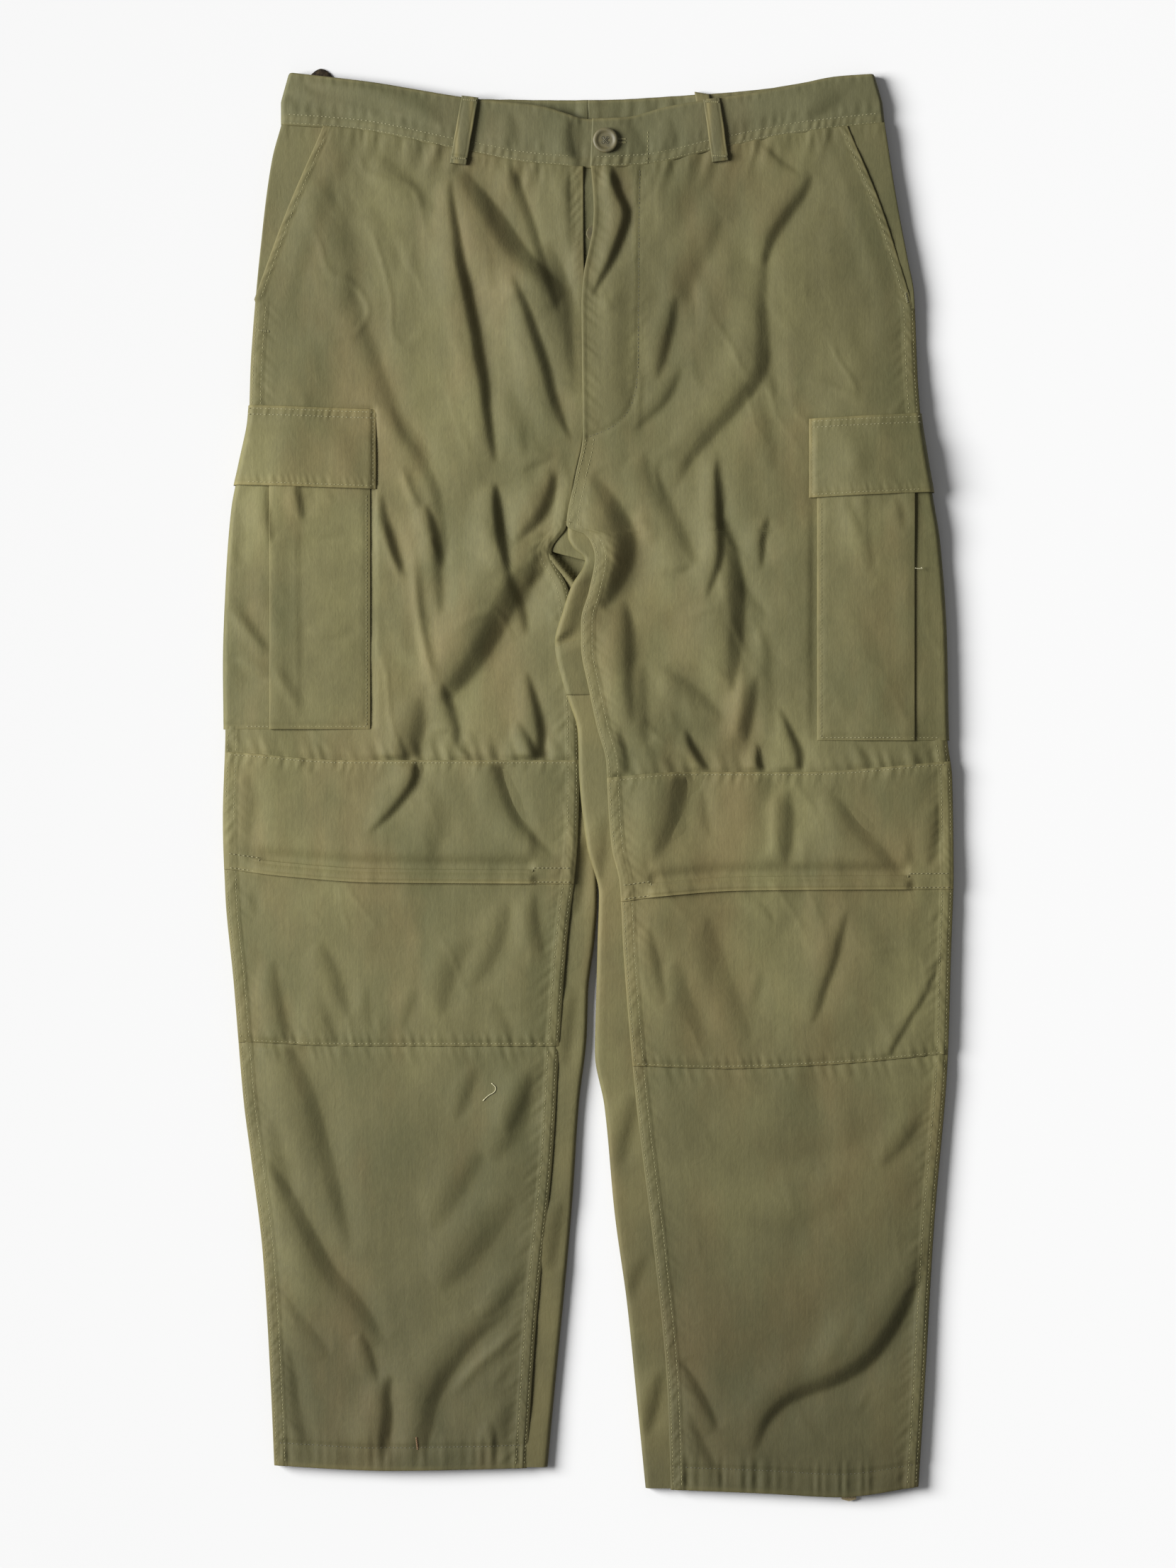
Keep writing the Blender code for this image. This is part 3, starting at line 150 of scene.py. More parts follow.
# Folds, piece by piece: height, half width, how sharp (0 to 1), then the (x, down) points of the line where
# the cloth falls away from the top left.
FOLDS_OF = [
    # right leg, waist to crotch
    ("front_r", [
        (5.5, 9, 0.9, [(-105, 80), (-103, 110), (-98, 140), (-92, 175), (-86, 205), (-80, 240), (-76, 268),
         (-71, 296)]),
        (6.0, 7.5, 0.8, [(-71, 310), (-69, 338), (-66, 362), (-61, 378)]),
        (9.0, 17, 0.6, [(-98, 74), (-85, 95), (-70, 118), (-52, 143), (-33, 157), (-18, 166)]),
        (3.2, 8, 0.7, [(-60, 70), (-52, 97), (-44, 118), (-38, 140), (-30, 165), (-23, 184)]),
        (5.0, 9, 0.8, [(-58, 154), (-50, 175), (-43, 197), (-35, 220), (-30, 242), (-22, 266),
         (-13, 276)]),
        (6.5, 17, 0.5, [(-34, 128), (-24, 165), (-15, 200), (-9, 245)]),
        (2.0, 6, 0.6, [(-15, 76), (-14, 100), (-12, 124), (-14, 136)]),
        (2.5, 12, 0.3, [(-62, 238), (-52, 262), (-47, 288)]),
        (6.5, 11, 0.7, [(-26, 300), (-31, 322), (-42, 338), (-56, 353)]),
        (1.5, 5, 0.5, [(-50, 300), (-38, 295), (-26, 288)]),
        (2.5, 14, 0.2, [(-202, 78), (-196, 100), (-184, 128), (-180, 160), (-188, 185)]),
        (2.5, 10, 0.3, [(-160, 62), (-142, 80), (-126, 96), (-114, 106)]),
        (2.0, 12, 0.2, [(-166, 100), (-152, 125), (-143, 150)]),
        (2.5, 10, 0.3, [(-182, 150), (-176, 180), (-166, 206), (-158, 232), (-148, 255), (-134, 275),
         (-118, 294)]),
        (2.5, 9, 0.5, [(-150, 252), (-143, 272), (-128, 292), (-118, 312), (-112, 342), (-109, 366)]),
        # right thigh
        (4.0, 7, 0.7, [(-123, 326), (-117, 346), (-110, 374)]),
        (2.5, 7, 0.5, [(-118, 350), (-114, 380), (-112, 410)]),
        (2.6, 6, 0.6, [(-157, 318), (-154, 342), (-140, 378)]),
        (10.5, 19, 0.5, [(-27, 352), (-40, 372), (-60, 388), (-70, 412), (-84, 436), (-98, 453),
         (-107, 463), (-114, 471)]),
        (5.5, 10, 0.7, [(-111, 460), (-104, 482), (-98, 506)]),
        (4.0, 8, 0.7, [(-62, 376), (-57, 392), (-50, 412), (-47, 424)]),
        (3.6, 9, 0.5, [(-40, 374), (-46, 390), (-52, 404)]),
        (4.6, 7, 0.7, [(-47, 452), (-41, 478), (-37, 498), (-38, 514)]),
        (3.0, 6, 0.6, [(-53, 490), (-44, 508), (-40, 517)]),
        (2.0, 6, 0.6, [(-30, 500), (-22, 510), (-17, 517)]),
        (4.6, 12, 0.45, [(-128, 470), (-128, 492), (-136, 517)]),
        (2.0, 5, 0.6, [(-104, 498), (-98, 512), (-88, 517)]),
    ]),
    ("pouch_r", [
        (2.2, 5, 0.6, [(-265, 444), (-252, 453), (-240, 457)]),
        (2.8, 6, 0.6, [(-243, 308), (-241, 335), (-239, 355)]),
        (2.5, 4, 0.7, [(-219, 306), (-218, 322), (-215, 338)]),
        (1.6, 6, 0.5, [(-264, 398), (-253, 418), (-241, 438)]),
        (0.5, 3, 0.8, [(-218, 336), (-218.6, 400), (-217.5, 490)]),
        (1.2, 4, 0.5, [(-212, 312), (-206, 326)]),
        (1.0, 4, 0.5, [(-197, 314), (-190, 326)]),
        (2.6, 10, 0.4, [(-268, 322), (-272, 355), (-262, 372)]),
        (1.2, 8, 0.3, [(-248, 478), (-244, 492)]),
    ]),
    ("pouch_l", [
        (2.0, 7, 0.4, [(208, 318), (210, 345), (212, 376)]),
        (1.8, 6, 0.4, [(194, 320), (199, 334), (206, 350)]),
        (1.6, 5, 0.4, [(231, 320), (235, 334), (237, 346)]),
    ]),
    ("back_l", [
        (3.0, 8, 0.5, [(56, 978), (49, 1002), (43, 1028)]),
        (2.2, 9, 0.4, [(45, 890), (35, 910), (26, 930)]),
        (2.2, 8, 0.4, [(34, 770), (27, 800), (24, 825)]),
        (2.0, 8, 0.4, [(12, 560), (8, 590), (6, 620)]),
    ]),
    ("back_r", [
        (2.4, 7, 0.5, [(-3, 575), (-8, 600), (-10, 635)]),
        (2.0, 8, 0.4, [(-12, 690), (-16, 720), (-18, 750)]),
        (2.0, 8, 0.4, [(-20, 850), (-27, 875), (-30, 905)]),
    ]),
    ("pouch_r", [
        (0.8, 4, 0.4, [(-217, 349), (-200, 350), (-184, 348)]),
        (0.6, 3.5, 0.4, [(-214, 424), (-196, 427), (-178, 421)]),
    ]),
    # right knee
    ("patch_r", [
        (3.5, 6, 0.9, [(-131, 521), (-131, 532), (-140, 546), (-153, 561), (-166, 574)]),
        (4.0, 9, 0.6, [(-72, 520), (-66, 542), (-58, 562), (-44, 577), (-28, 592)]),
        (2.5, 14, 0.2, [(-120, 535), (-108, 560), (-118, 590)]),
        (2.0, 14, 0.2, [(-195, 540), (-178, 548), (-160, 556)]),
        (1.5, 8, 0.3, [(-258, 528), (-256, 556), (-260, 590)]),
        (2.5, 8, 0.4, [(-238, 668), (-236, 700), (-228, 730)]),
        (2.5, 9, 0.3, [(-202, 655), (-192, 684), (-182, 712)]),
        (1.5, 8, 0.3, [(-206, 690), (-196, 725)]),
        (2.0, 10, 0.3, [(-88, 650), (-106, 680), (-112, 712)]),
        (2.0, 9, 0.3, [(-60, 625), (-70, 660), (-88, 690)]),
        (2.5, 9, 0.4, [(-41, 618), (-42, 640), (-34, 668)]),
        (1.5, 7, 0.4, [(-254, 614), (-252, 636)]),
        (1.5, 8, 0.3, [(-168, 690), (-165, 722)]),
        (1.5, 8, 0.3, [(-130, 690), (-140, 722)]),
        (1.3, 7, 0.3, [(-72, 700), (-60, 724)]),
    ]),
    # right shin
    ("front_r", [
        (4.0, 13, 0.4, [(-226, 742), (-214, 768), (-206, 800), (-196, 835), (-186, 870), (-180, 890)]),
        (2.0, 9, 0.2, [(-240, 790), (-234, 820), (-226, 850)]),
        (5.5, 13, 0.45, [(-242, 821), (-226, 850), (-212, 882), (-198, 907), (-176, 930), (-156, 957)]),
        (5.0, 11, 0.6, [(-172, 950), (-166, 968), (-160, 988)]),
        (5.0, 10, 0.6, [(-150, 982), (-154, 996), (-153, 1012), (-156, 1034)]),
        (4.2, 12, 0.4, [(-58, 932), (-92, 954), (-112, 982), (-121, 1003), (-127, 1032)]),
        (2.4, 12, 0.3, [(-80, 812), (-100, 845), (-118, 872)]),
        (3.2, 14, 0.3, [(-56, 848), (-84, 885), (-112, 918)]),
        (2.5, 9, 0.3, [(-46, 900), (-60, 922), (-80, 940)]),
        (2.0, 8, 0.4, [(-230, 925), (-214, 948), (-196, 966)]),
        (2.0, 8, 0.4, [(-226, 960), (-224, 1000), (-216, 1035)]),
        (2.0, 8, 0.3, [(-44, 752), (-52, 780), (-62, 800)]),
        (2.0, 9, 0.3, [(-85, 750), (-100, 790)]),
        (1.5, 7, 0.4, [(-54, 970), (-62, 982), (-70, 990)]),
        (1.5, 7, 0.4, [(-56, 1000), (-62, 1018), (-66, 1032)]),
        (2.0, 7, 0.5, [(-72, 1030), (-70, 1042), (-64, 1050)]),
        (2.6, 12, 0.3, [(-34, 748), (-50, 785), (-72, 822)]),
    ]),
    # waistband
    ("band_r", [
        (3.0, 7, 0.4, [(-213, 10), (-185, 15), (-160, 22), (-135, 30), (-112, 41)]),
        (2.0, 6, 0.3, [(-228, 16), (-184, 27), (-158, 34)]),
        (1.2, 6, 0.3, [(-60, 30), (-56, 45), (-62, 58)]),
        (2.0, 6, 0.6, [(-14, 28), (-16, 48), (-12, 70)]),
    ]),
    ("band_l", [
        (1.4, 8, 0.3, [(110, 38), (150, 33), (190, 24)]),
        (1.2, 6, 0.3, [(60, 34), (64, 48), (60, 62)]),
        (1.2, 6, 0.3, [(28, 38), (38, 50), (40, 66)]),
        (1.0, 7, 0.3, [(200, 10), (180, 22), (168, 36)]),
    ]),
    # left leg, waist to crotch
    ("front_l", [
        (5.0, 7, 0.9, [(16, 76), (22, 92), (28, 104), (24, 121), (17, 138), (8, 156), (1, 170)]),
        (1.5, 6, 0.4, [(12, 162), (14, 172), (20, 180)]),
        (2.5, 12, 0.3, [(100, 108), (88, 130), (76, 152), (72, 175)]),
        (3.0, 7, 0.6, [(66, 168), (62, 190), (56, 210), (51, 232)]),
        (2.0, 6, 0.5, [(70, 222), (58, 246), (46, 258), (34, 270)]),
        (2.0, 14, 0.2, [(96, 72), (72, 95), (62, 125)]),
        (4.0, 9, 0.7, [(168, 76), (160, 92), (146, 108), (136, 124), (132, 146)]),
        (4.5, 12, 0.6, [(133, 134), (128, 165), (130, 195), (130, 222), (118, 240), (104, 256), (88, 274),
         (74, 292), (64, 314)]),
        (1.5, 5, 0.7, [(128, 52), (144, 68), (160, 77)]),
        (2.0, 8, 0.4, [(134, 226), (140, 232), (142, 246)]),
        (1.8, 9, 0.3, [(128, 244), (134, 270), (140, 300)]),
        (1.5, 7, 0.5, [(96, 282), (98, 300), (97, 330), (96, 350)]),
        # left thigh
        (9.5, 18, 0.55, [(0, 304), (13, 324), (24, 344), (26, 361), (17, 385), (8, 405)]),
        (5.0, 15, 0.4, [(40, 288), (52, 318), (64, 348), (80, 372)]),
        (2.5, 9, 0.4, [(56, 372), (68, 378), (78, 370)]),
        (6.5, 13, 0.75, [(100, 336), (106, 358), (110, 380), (109, 410), (108, 440), (107, 468)]),
        (3.5, 6, 0.8, [(96, 292), (97, 318), (99, 345), (97, 372), (88, 396)]),
        (2.5, 4.5, 0.8, [(136, 335), (130, 352), (130, 374)]),
        (2.5, 8, 0.4, [(116, 384), (122, 398), (134, 412)]),
        (3.4, 9, 0.5, [(26, 398), (30, 420), (29, 446), (28, 470), (32, 492)]),
        (3.0, 10, 0.4, [(42, 446), (38, 480), (42, 508)]),
        (4.5, 12, 0.45, [(56, 450), (72, 462), (90, 478), (102, 487)]),
        (3.4, 4.5, 0.8, [(73, 496), (76, 508), (85, 521)]),
        (2.5, 7, 0.6, [(126, 454), (122, 480), (118, 506)]),
        (3.4, 4, 0.8, [(128, 506), (127, 520), (131, 529)]),
        (3.0, 5.5, 0.7, [(143, 479), (152, 500), (158, 512), (158, 525)]),
        (2.0, 9, 0.3, [(134, 420), (132, 460), (138, 500)]),
        (2.0, 7, 0.6, [(200, 505), (212, 521)]),
        (2.5, 8, 0.4, [(46, 504), (60, 512), (74, 517)]),
        (3.0, 7, 0.6, [(22, 494), (25, 514), (27, 529)]),
    ]),
    # left knee
    ("patch_l", [
        (3.6, 12, 0.45, [(70, 530), (66, 550), (60, 570), (48, 588), (37, 606)]),
        (2.6, 8, 0.45, [(150, 540), (151, 570), (147, 598)]),
        (1.6, 10, 0.3, [(132, 535), (130, 590)]),
        (3.5, 11, 0.4, [(180, 543), (196, 566), (216, 586), (236, 607)]),
        (2.5, 8, 0.5, [(262, 550), (262, 575), (256, 598)]),
        (2.0, 8, 0.4, [(84, 540), (86, 560), (92, 576)]),
        (2.5, 7, 0.7, [(120, 621), (132, 629), (140, 641)]),
        (2.5, 7, 0.7, [(195, 630), (188, 655), (180, 680), (173, 700), (168, 718)]),
        (1.4, 4, 0.9, [(270, 656), (256, 690), (240, 716), (225, 742)]),
        (2.5, 12, 0.3, [(86, 638), (96, 670), (108, 700), (122, 730)]),
        (2.0, 10, 0.3, [(64, 670), (72, 700), (86, 732)]),
        (2.5, 8, 0.5, [(44, 645), (49, 672), (57, 702)]),
        (2.0, 8, 0.4, [(268, 624), (260, 642)]),
        (1.5, 8, 0.3, [(130, 676), (124, 704)]),
    ]),
    # left shin
    ("front_l", [
        (6.0, 13, 0.6, [(258, 880), (250, 900), (238, 925), (224, 950), (208, 970), (190, 980), (165, 990),
         (145, 1000), (130, 1018), (124, 1040)]),
        (2.5, 9, 0.4, [(252, 786), (238, 804), (220, 826)]),
        (3.0, 8, 0.6, [(68, 972), (80, 992), (90, 1010), (97, 1024)]),
        (2.5, 8, 0.5, [(74, 1012), (82, 1035), (92, 1052)]),
        (2.0, 10, 0.3, [(214, 992), (204, 1012)]),
        (1.5, 14, 0.2, [(90, 798), (150, 815), (210, 800)]),
        (1.5, 14, 0.2, [(80, 860), (140, 870), (190, 850)]),
        (1.5, 12, 0.3, [(202, 935), (180, 975)]),
        (1.5, 12, 0.3, [(160, 1012), (178, 1032)]),
    ]),
]
FOLDS = [(piece, *fold) for piece, folds in FOLDS_OF for fold in folds]

# Crests: piece, height, half width, points of the line where the cloth stands up in a narrow pinch.
CRESTS = [
    ("front_r", 1.3, 3.5, [(-142, 296), (-134, 318), (-126, 334)]),
    ("front_r", 1.2, 3.0, [(-157, 334), (-150, 362), (-139, 386)]),
    ("front_r", 1.6, 3.5, [(-131, 356), (-130, 390), (-127, 415), (-121, 445), (-114, 470)]),
    ("front_r", 1.0, 4.0, [(-44, 935), (-60, 955), (-85, 975), (-108, 1004)]),
    ("pouch_r", 1.2, 4.0, [(-274, 400), (-258, 420), (-240, 442)]),
    ("pouch_r", 1.0, 4.0, [(-238, 446), (-228, 464), (-216, 484)]),
    ("front_l", 1.4, 5.0, [(118, 400), (114, 440), (116, 480), (106, 515)]),
    ("front_l", 1.2, 5.0, [(36, 330), (44, 345), (47, 358)]),
    ("patch_l", 1.2, 6.0, [(140, 540), (141, 575), (142, 600)]),
]

# ---------------------------------------------------------------- small helpers


def smooth(t):
    """0 below 0, 1 above 1, and a rounded step between."""
    t = np.clip(t, 0.0, 1.0)
    return t * t * (3.0 - 2.0 * t)


def ramp(value, start, end):
    """0 before start, 1 after end, with rounded corners."""
    return smooth((value - start) / (end - start))


def bump(value, centre, half):
    """1 at centre, falling off to nothing about two half widths away."""
    return np.exp(-(((value - centre) / half) ** 2))


def lump(x, down, centre, area):
    """A round swell, 1 high at its centre."""
    return np.exp(-((x - centre[0]) ** 2 + (down - centre[1]) ** 2) / area)


def curve(points, along=1):
    """A function of down (along=1) or of x (along=0) through the points, with no overshoot between them."""
    table = np.array(sorted(points, key=lambda p: p[along]), dtype=float)
    key, val = table[:, along], table[:, 1 - along]
    step = np.diff(key)
    slope = np.diff(val) / step
    tangent = np.concatenate([[slope[0]], np.zeros(len(key) - 2), [slope[-1]]])
    same = slope[:-1] * slope[1:] > 0
    a, b = 2 * step[1:] + step[:-1], step[1:] + 2 * step[:-1]
    tangent[1:-1][same] = ((a + b)[same]) / (a[same] / slope[:-1][same] + b[same] / slope[1:][same])

    def at(where):
        where = np.clip(np.asarray(where, dtype=float), key[0], key[-1])
        i = np.clip(np.searchsorted(key, where) - 1, 0, len(step) - 1)
        t, h = (where - key[i]) / step[i], step[i]
        return (val[i] * (1 + 2 * t) * (1 - t) ** 2 + h * tangent[i] * t * (1 - t) ** 2
                + val[i + 1] * t * t * (3 - 2 * t) + h * tangent[i + 1] * t * t * (t - 1))

    return at


def wander(u, v, cell, seed):
    """Soft random waves over a plane, about -1 to 1, cell mm from one to the next."""
    lattice = np.random.default_rng(seed).uniform(-1.0, 1.0, (64, 64))
    u, v = np.asarray(u) / cell + 17.3, np.asarray(v) / cell + 5.7
    iu, iv = np.floor(u).astype(int), np.floor(v).astype(int)
    fu, fv = smooth(u - iu), smooth(v - iv)
    a, b = lattice[iu % 64, iv % 64], lattice[(iu + 1) % 64, iv % 64]
    c, d = lattice[iu % 64, (iv + 1) % 64], lattice[(iu + 1) % 64, (iv + 1) % 64]
    return (a * (1 - fu) + b * fu) * (1 - fv) + (c * (1 - fu) + d * fu) * fv


def pucker(run, seed, wave=6.5):
    """The gathers along a row of stitches: uneven in spacing and height, about -1 to 1."""
    warped = run + 4.0 * wander(run, 0 * run, 17.0, seed)
    height = 0.55 + 0.45 * wander(run, 0 * run, 27.0, seed + 1)
    even = height * np.sin(2 * np.pi * warped / wave + 1.6 * wander(run, 0 * run, 9.0, seed + 2))
    return 0.6 * even + 0.7 * wander(run, 0 * run, 0.5 * wave, seed + 3)


side, slant, front_in, inner = (
    {leg: curve(lines[leg]) for leg in LEGS} for lines in (SIDE, SLANT, FRONT_IN, INNER))
hem_edge, patch_top, patch_tuck, patch_end = (
    {leg: curve(lines[leg], 0) for leg in LEGS} for lines in (HEM_EDGE, PATCH_TOP, PATCH_TUCK, PATCH_END))
front_band_seam, front_band_top, back_band_seam, back_band_top = (
    curve(line, 0) for line in (FRONT_BAND_SEAM, FRONT_BAND_TOP, BACK_BAND_SEAM, BACK_BAND_TOP))
outseam = {leg: lambda down, leg=leg: side[leg](down) - OUTWARD[leg] * 0.9 for leg in LEGS}


def front_out(leg, down):
    """The front panel's outer edge: the pocket's slant above, the outseam below."""
    return np.where(down < SLANT_FOOT, slant[leg](down), outseam[leg](down))


# ---------------------------------------------------------------- how high the cloth lies


def off_line(points, x, down):
    """Each place's signed distance from a line, with the side towards the top left positive, and how far
    along the line it is, from 0 to 1."""
    p = np.array(points, dtype=float)
    lengths = np.hypot(*np.diff(p, axis=0).T)
    run = np.concatenate([[0.0], np.cumsum(lengths)])
    best = np.full(x.shape, 1e9)
    signed, along = np.zeros_like(x), np.zeros_like(x)
    whole = p[-1] - p[0]
    facing = 1.0 if whole[1] * -0.8 + whole[0] * 0.6 > 0 else -1.0
    for i, length in enumerate(lengths):
        tx, td = (p[i + 1] - p[i]) / length
        nx, nd = td * facing, -tx * facing
        rx, rd = x - p[i, 0], down - p[i, 1]
        t = np.clip(rx * tx + rd * td, 0.0, length)
        off = np.hypot(rx - t * tx, rd - t * td)
        nearer = off < best
        best = np.where(nearer, off, best)
        signed = np.where(nearer, np.sign(rx * nx + rd * nd) * off, signed)
        along = np.where(nearer, (run[i] + t) / run[-1], along)
    return signed, along


def rounded(points, times=3):
    """The line with its corners cut again and again."""
    p = np.array(points, dtype=float)
    for _ in range(times):
        q, r = 0.75 * p[:-1] + 0.25 * p[1:], 0.25 * p[:-1] + 0.75 * p[1:]
        p = np.concatenate([p[:1], np.stack([q, r], axis=1).reshape(-1, 2)[1:-1], p[-1:]])
    return p


def fold_profile(off, sharp):
    """Across a fold of height 1, off in half widths: a soft swell, or the more it is sharp the more a long
    slope up to a crest and a steep drop behind it."""
    soft = 0.7 * bump(off, 1.0, 1.2) - 0.6 * bump(off, -0.8, 1.1)
    crest, valley = 0.4, -0.65
    up = bump(np.maximum(off, crest), crest, 2.0)
    fall = np.clip((crest - off) / (crest - valley), 0, 1)
    drop = 1.0 - 2.1 * (0.4 * smooth(fall) + 0.6 * fall ** 1.8)
    back = np.exp(-np.maximum(valley - off, 0) / 1.7)
    crisp = 0.62 * np.where(off > crest, up, np.where(off > valley, drop, -1.1 * back))
    return ((1 - sharp) * soft + sharp * crisp) * (1 - ramp(np.abs(off), 3.0, 4.4))


def run_on(piece, points):
    """A fold that reaches a cross seam runs on under it, so that it is still full height there."""
    p = [np.array(q, dtype=float) for q in points]
    leg = piece[-1]
    length = np.hypot(*np.diff(np.array(p), axis=0).T).sum()
    seams = [front_band_seam, patch_top[leg], patch_end[leg], lambda x: hem_edge[leg](x) - HEM_DEEP]
    for end, inner_one in ((0, 1), (-1, -2)):
        if min(abs(float(seam(p[end][0])) - p[end][1]) for seam in seams) < 12.0:
            way = p[end] - p[inner_one]
            beyond = p[end] + way / np.linalg.norm(way) * min(0.6 * length, 50.0)
            p = [beyond] + p if end == 0 else p + [beyond]
    return p


def near_line(points, x, down, reach):
    """Which places lie within reach of a line."""
    p = np.array(points, dtype=float)
    return ((x > p[:, 0].min() - reach) & (x < p[:, 0].max() + reach)
            & (down > p[:, 1].min() - reach) & (down < p[:, 1].max() + reach))


def fold_height(piece, x, down):
    """How far a piece's folds and crests raise or sink it. A fold that is short for its width stays low."""
    x, down = np.broadcast_arrays(np.asarray(x, dtype=float), np.asarray(down, dtype=float))
    total = np.zeros(x.shape)
    for number, (name, height, half, sharp, points) in enumerate(FOLDS):
        if name != piece:
            continue
        points = run_on(piece, points)
        near = near_line(points, x, down, 4.5 * half)
        if near.any():
            px, pd = x[near], down[near]
            line = rounded(points, 2)
            length = np.hypot(*np.diff(line, axis=0).T).sum()
            narrow = min(1.0, length / (7.0 * half))
            off, along = off_line(line, px, pd)
            off = off + 0.10 * half * wander(px, pd, 2.5 * half, number)
            taper = (4 * along * (1 - along)) ** 0.75
            wide = half * narrow * (0.35 + 0.65 * taper)
            across = fold_profile(off / wide, sharp * (0.35 + 0.65 * narrow))
            total[near] += height * narrow ** 1.4 * taper * across
    for name, height, half, points in CRESTS:
        near = near_line(points, x, down, 4.0 * half) & (name == piece)
        if near.any():
            off, along = off_line(rounded(points, 2), x[near], down[near])
            taper = smooth(along / 0.3) * smooth((1.0 - along) / 0.3)
            total[near] += height * taper * (bump(off, 0, half) - 0.35 * bump(off, -2.2 * half, 1.5 * half))
    return total


def under_pocket(leg, x, down):
    """How far the flap's and the pouch's hidden edges raise the leg near its side: (flap, pouch)."""
    near = 1.0 - ramp(OUTWARD[leg] * (side[leg](down) - x), LIP[leg] + 2, LIP[leg] + 46)
    flap = 1.9 * near * ramp(down, 198, 226) * (1.0 - ramp(down, 342, 372))
    pouch = PLY * near * ramp(down, 226, 250) * (1.0 - ramp(down, 514, 545))
    return flap, pouch


def drape(x, down, seed):
    """The cloth's lazy swells, long down the leg and short across it, about -1 to 1."""
    u = x + 0.22 * down + 16.0 * wander(x, down, 75.0, seed)
    v = down / 2.4 + 9.0 * wander(x, down, 60.0, seed + 1)
    return 0.7 * wander(u, v, 30.0, seed + 2) + 0.3 * wander(u - 0.5 * down, v, 17.0, seed + 3)


def wrinkles(x, down, seed):
    """Fine shallow wrinkles with a clear ridge, here and there, up to 1."""
    u = x - 0.3 * down + 9.0 * wander(x, down, 40.0, seed)
    v = down + 9.0 * wander(x, down, 45.0, seed + 1)
    ridge = np.maximum(1.0 - 3.2 * np.abs(wander(u, v / 2.0, 21.0, seed + 2)), 0.0)
    return smooth(ridge) * ramp(wander(x, down, 55.0, seed + 3), -0.15, 0.45)


def base(leg, x, down):
    """The height of a leg's underside."""
    flap, pouch = under_pocket(leg, x, down)
    inside = np.minimum(OUTWARD[leg] * (x - front_in[leg](down)), OUTWARD[leg] * (side[leg](down) - x))
    swell = 1.3 + (1.3 - 0.5 * ramp(down, 500, 760)) * drape(x, down, SEEDS["swell"][leg])
    lift = flap + pouch + np.maximum(swell, 0.0) * ramp(inside, 4, 34) * ramp(down, 75, 110)
    if leg == "l":
        along = ramp(down, 318, 375) * (1.0 - ramp(down, 652, 760))
        steep = bump(down, 372, 62)
        past_seam = ramp(x - front_in["l"](down), LAP + 8 - 17 * steep, LAP + 68 - 45 * steep)
        lift = lift + HIGH * along * (1.0 - past_seam)
    return lift


def covered(leg, x, down):
    """1 where the front panel lies plain under a second layer."""
    pocket = POCKET[leg]
    patch = ramp(down - patch_top[leg](x), -5, 0) * ramp(patch_end[leg](x) - down, -5, 0)
    beside = ramp(OUTWARD[leg] * (x - min(pocket["edge"], pocket["flap_edge"], key=abs)), -2, 3)
    pouch = beside * ramp(down, pocket["flap_top"] - 3, pocket["flap_top"] + 3)
    pouch = pouch * (1.0 - ramp(down, pocket["bottom"] - 3, pocket["bottom"] + 3))
    return np.maximum(patch, pouch)


def felled(off, run, seed, rounding):
    """The lap of a felled seam, off mm in from its edge: raised, gathered between its two stitch rows."""
    lap = 0.6 * (1.0 - ramp(off, LAP - 0.8, LAP + 0.9)) * ramp(off, -0.5, 0.8)
    rows = 0.32 * (bump(off, ROW_IN, 0.8) + bump(off, ROW_OUT, 0.8))
    gathers = 0.5 * pucker(run + 1.1 * off, seed) * bump(off, 5.0, 3.1)
    beyond = 0.45 * pucker(run - 0.9 * off, seed + 7, 9.0) * bump(off, 12.5, 5.5)
    return lap - rows + gathers + beyond - rounding * (1.0 - ramp(off, 0.0, 3.4))


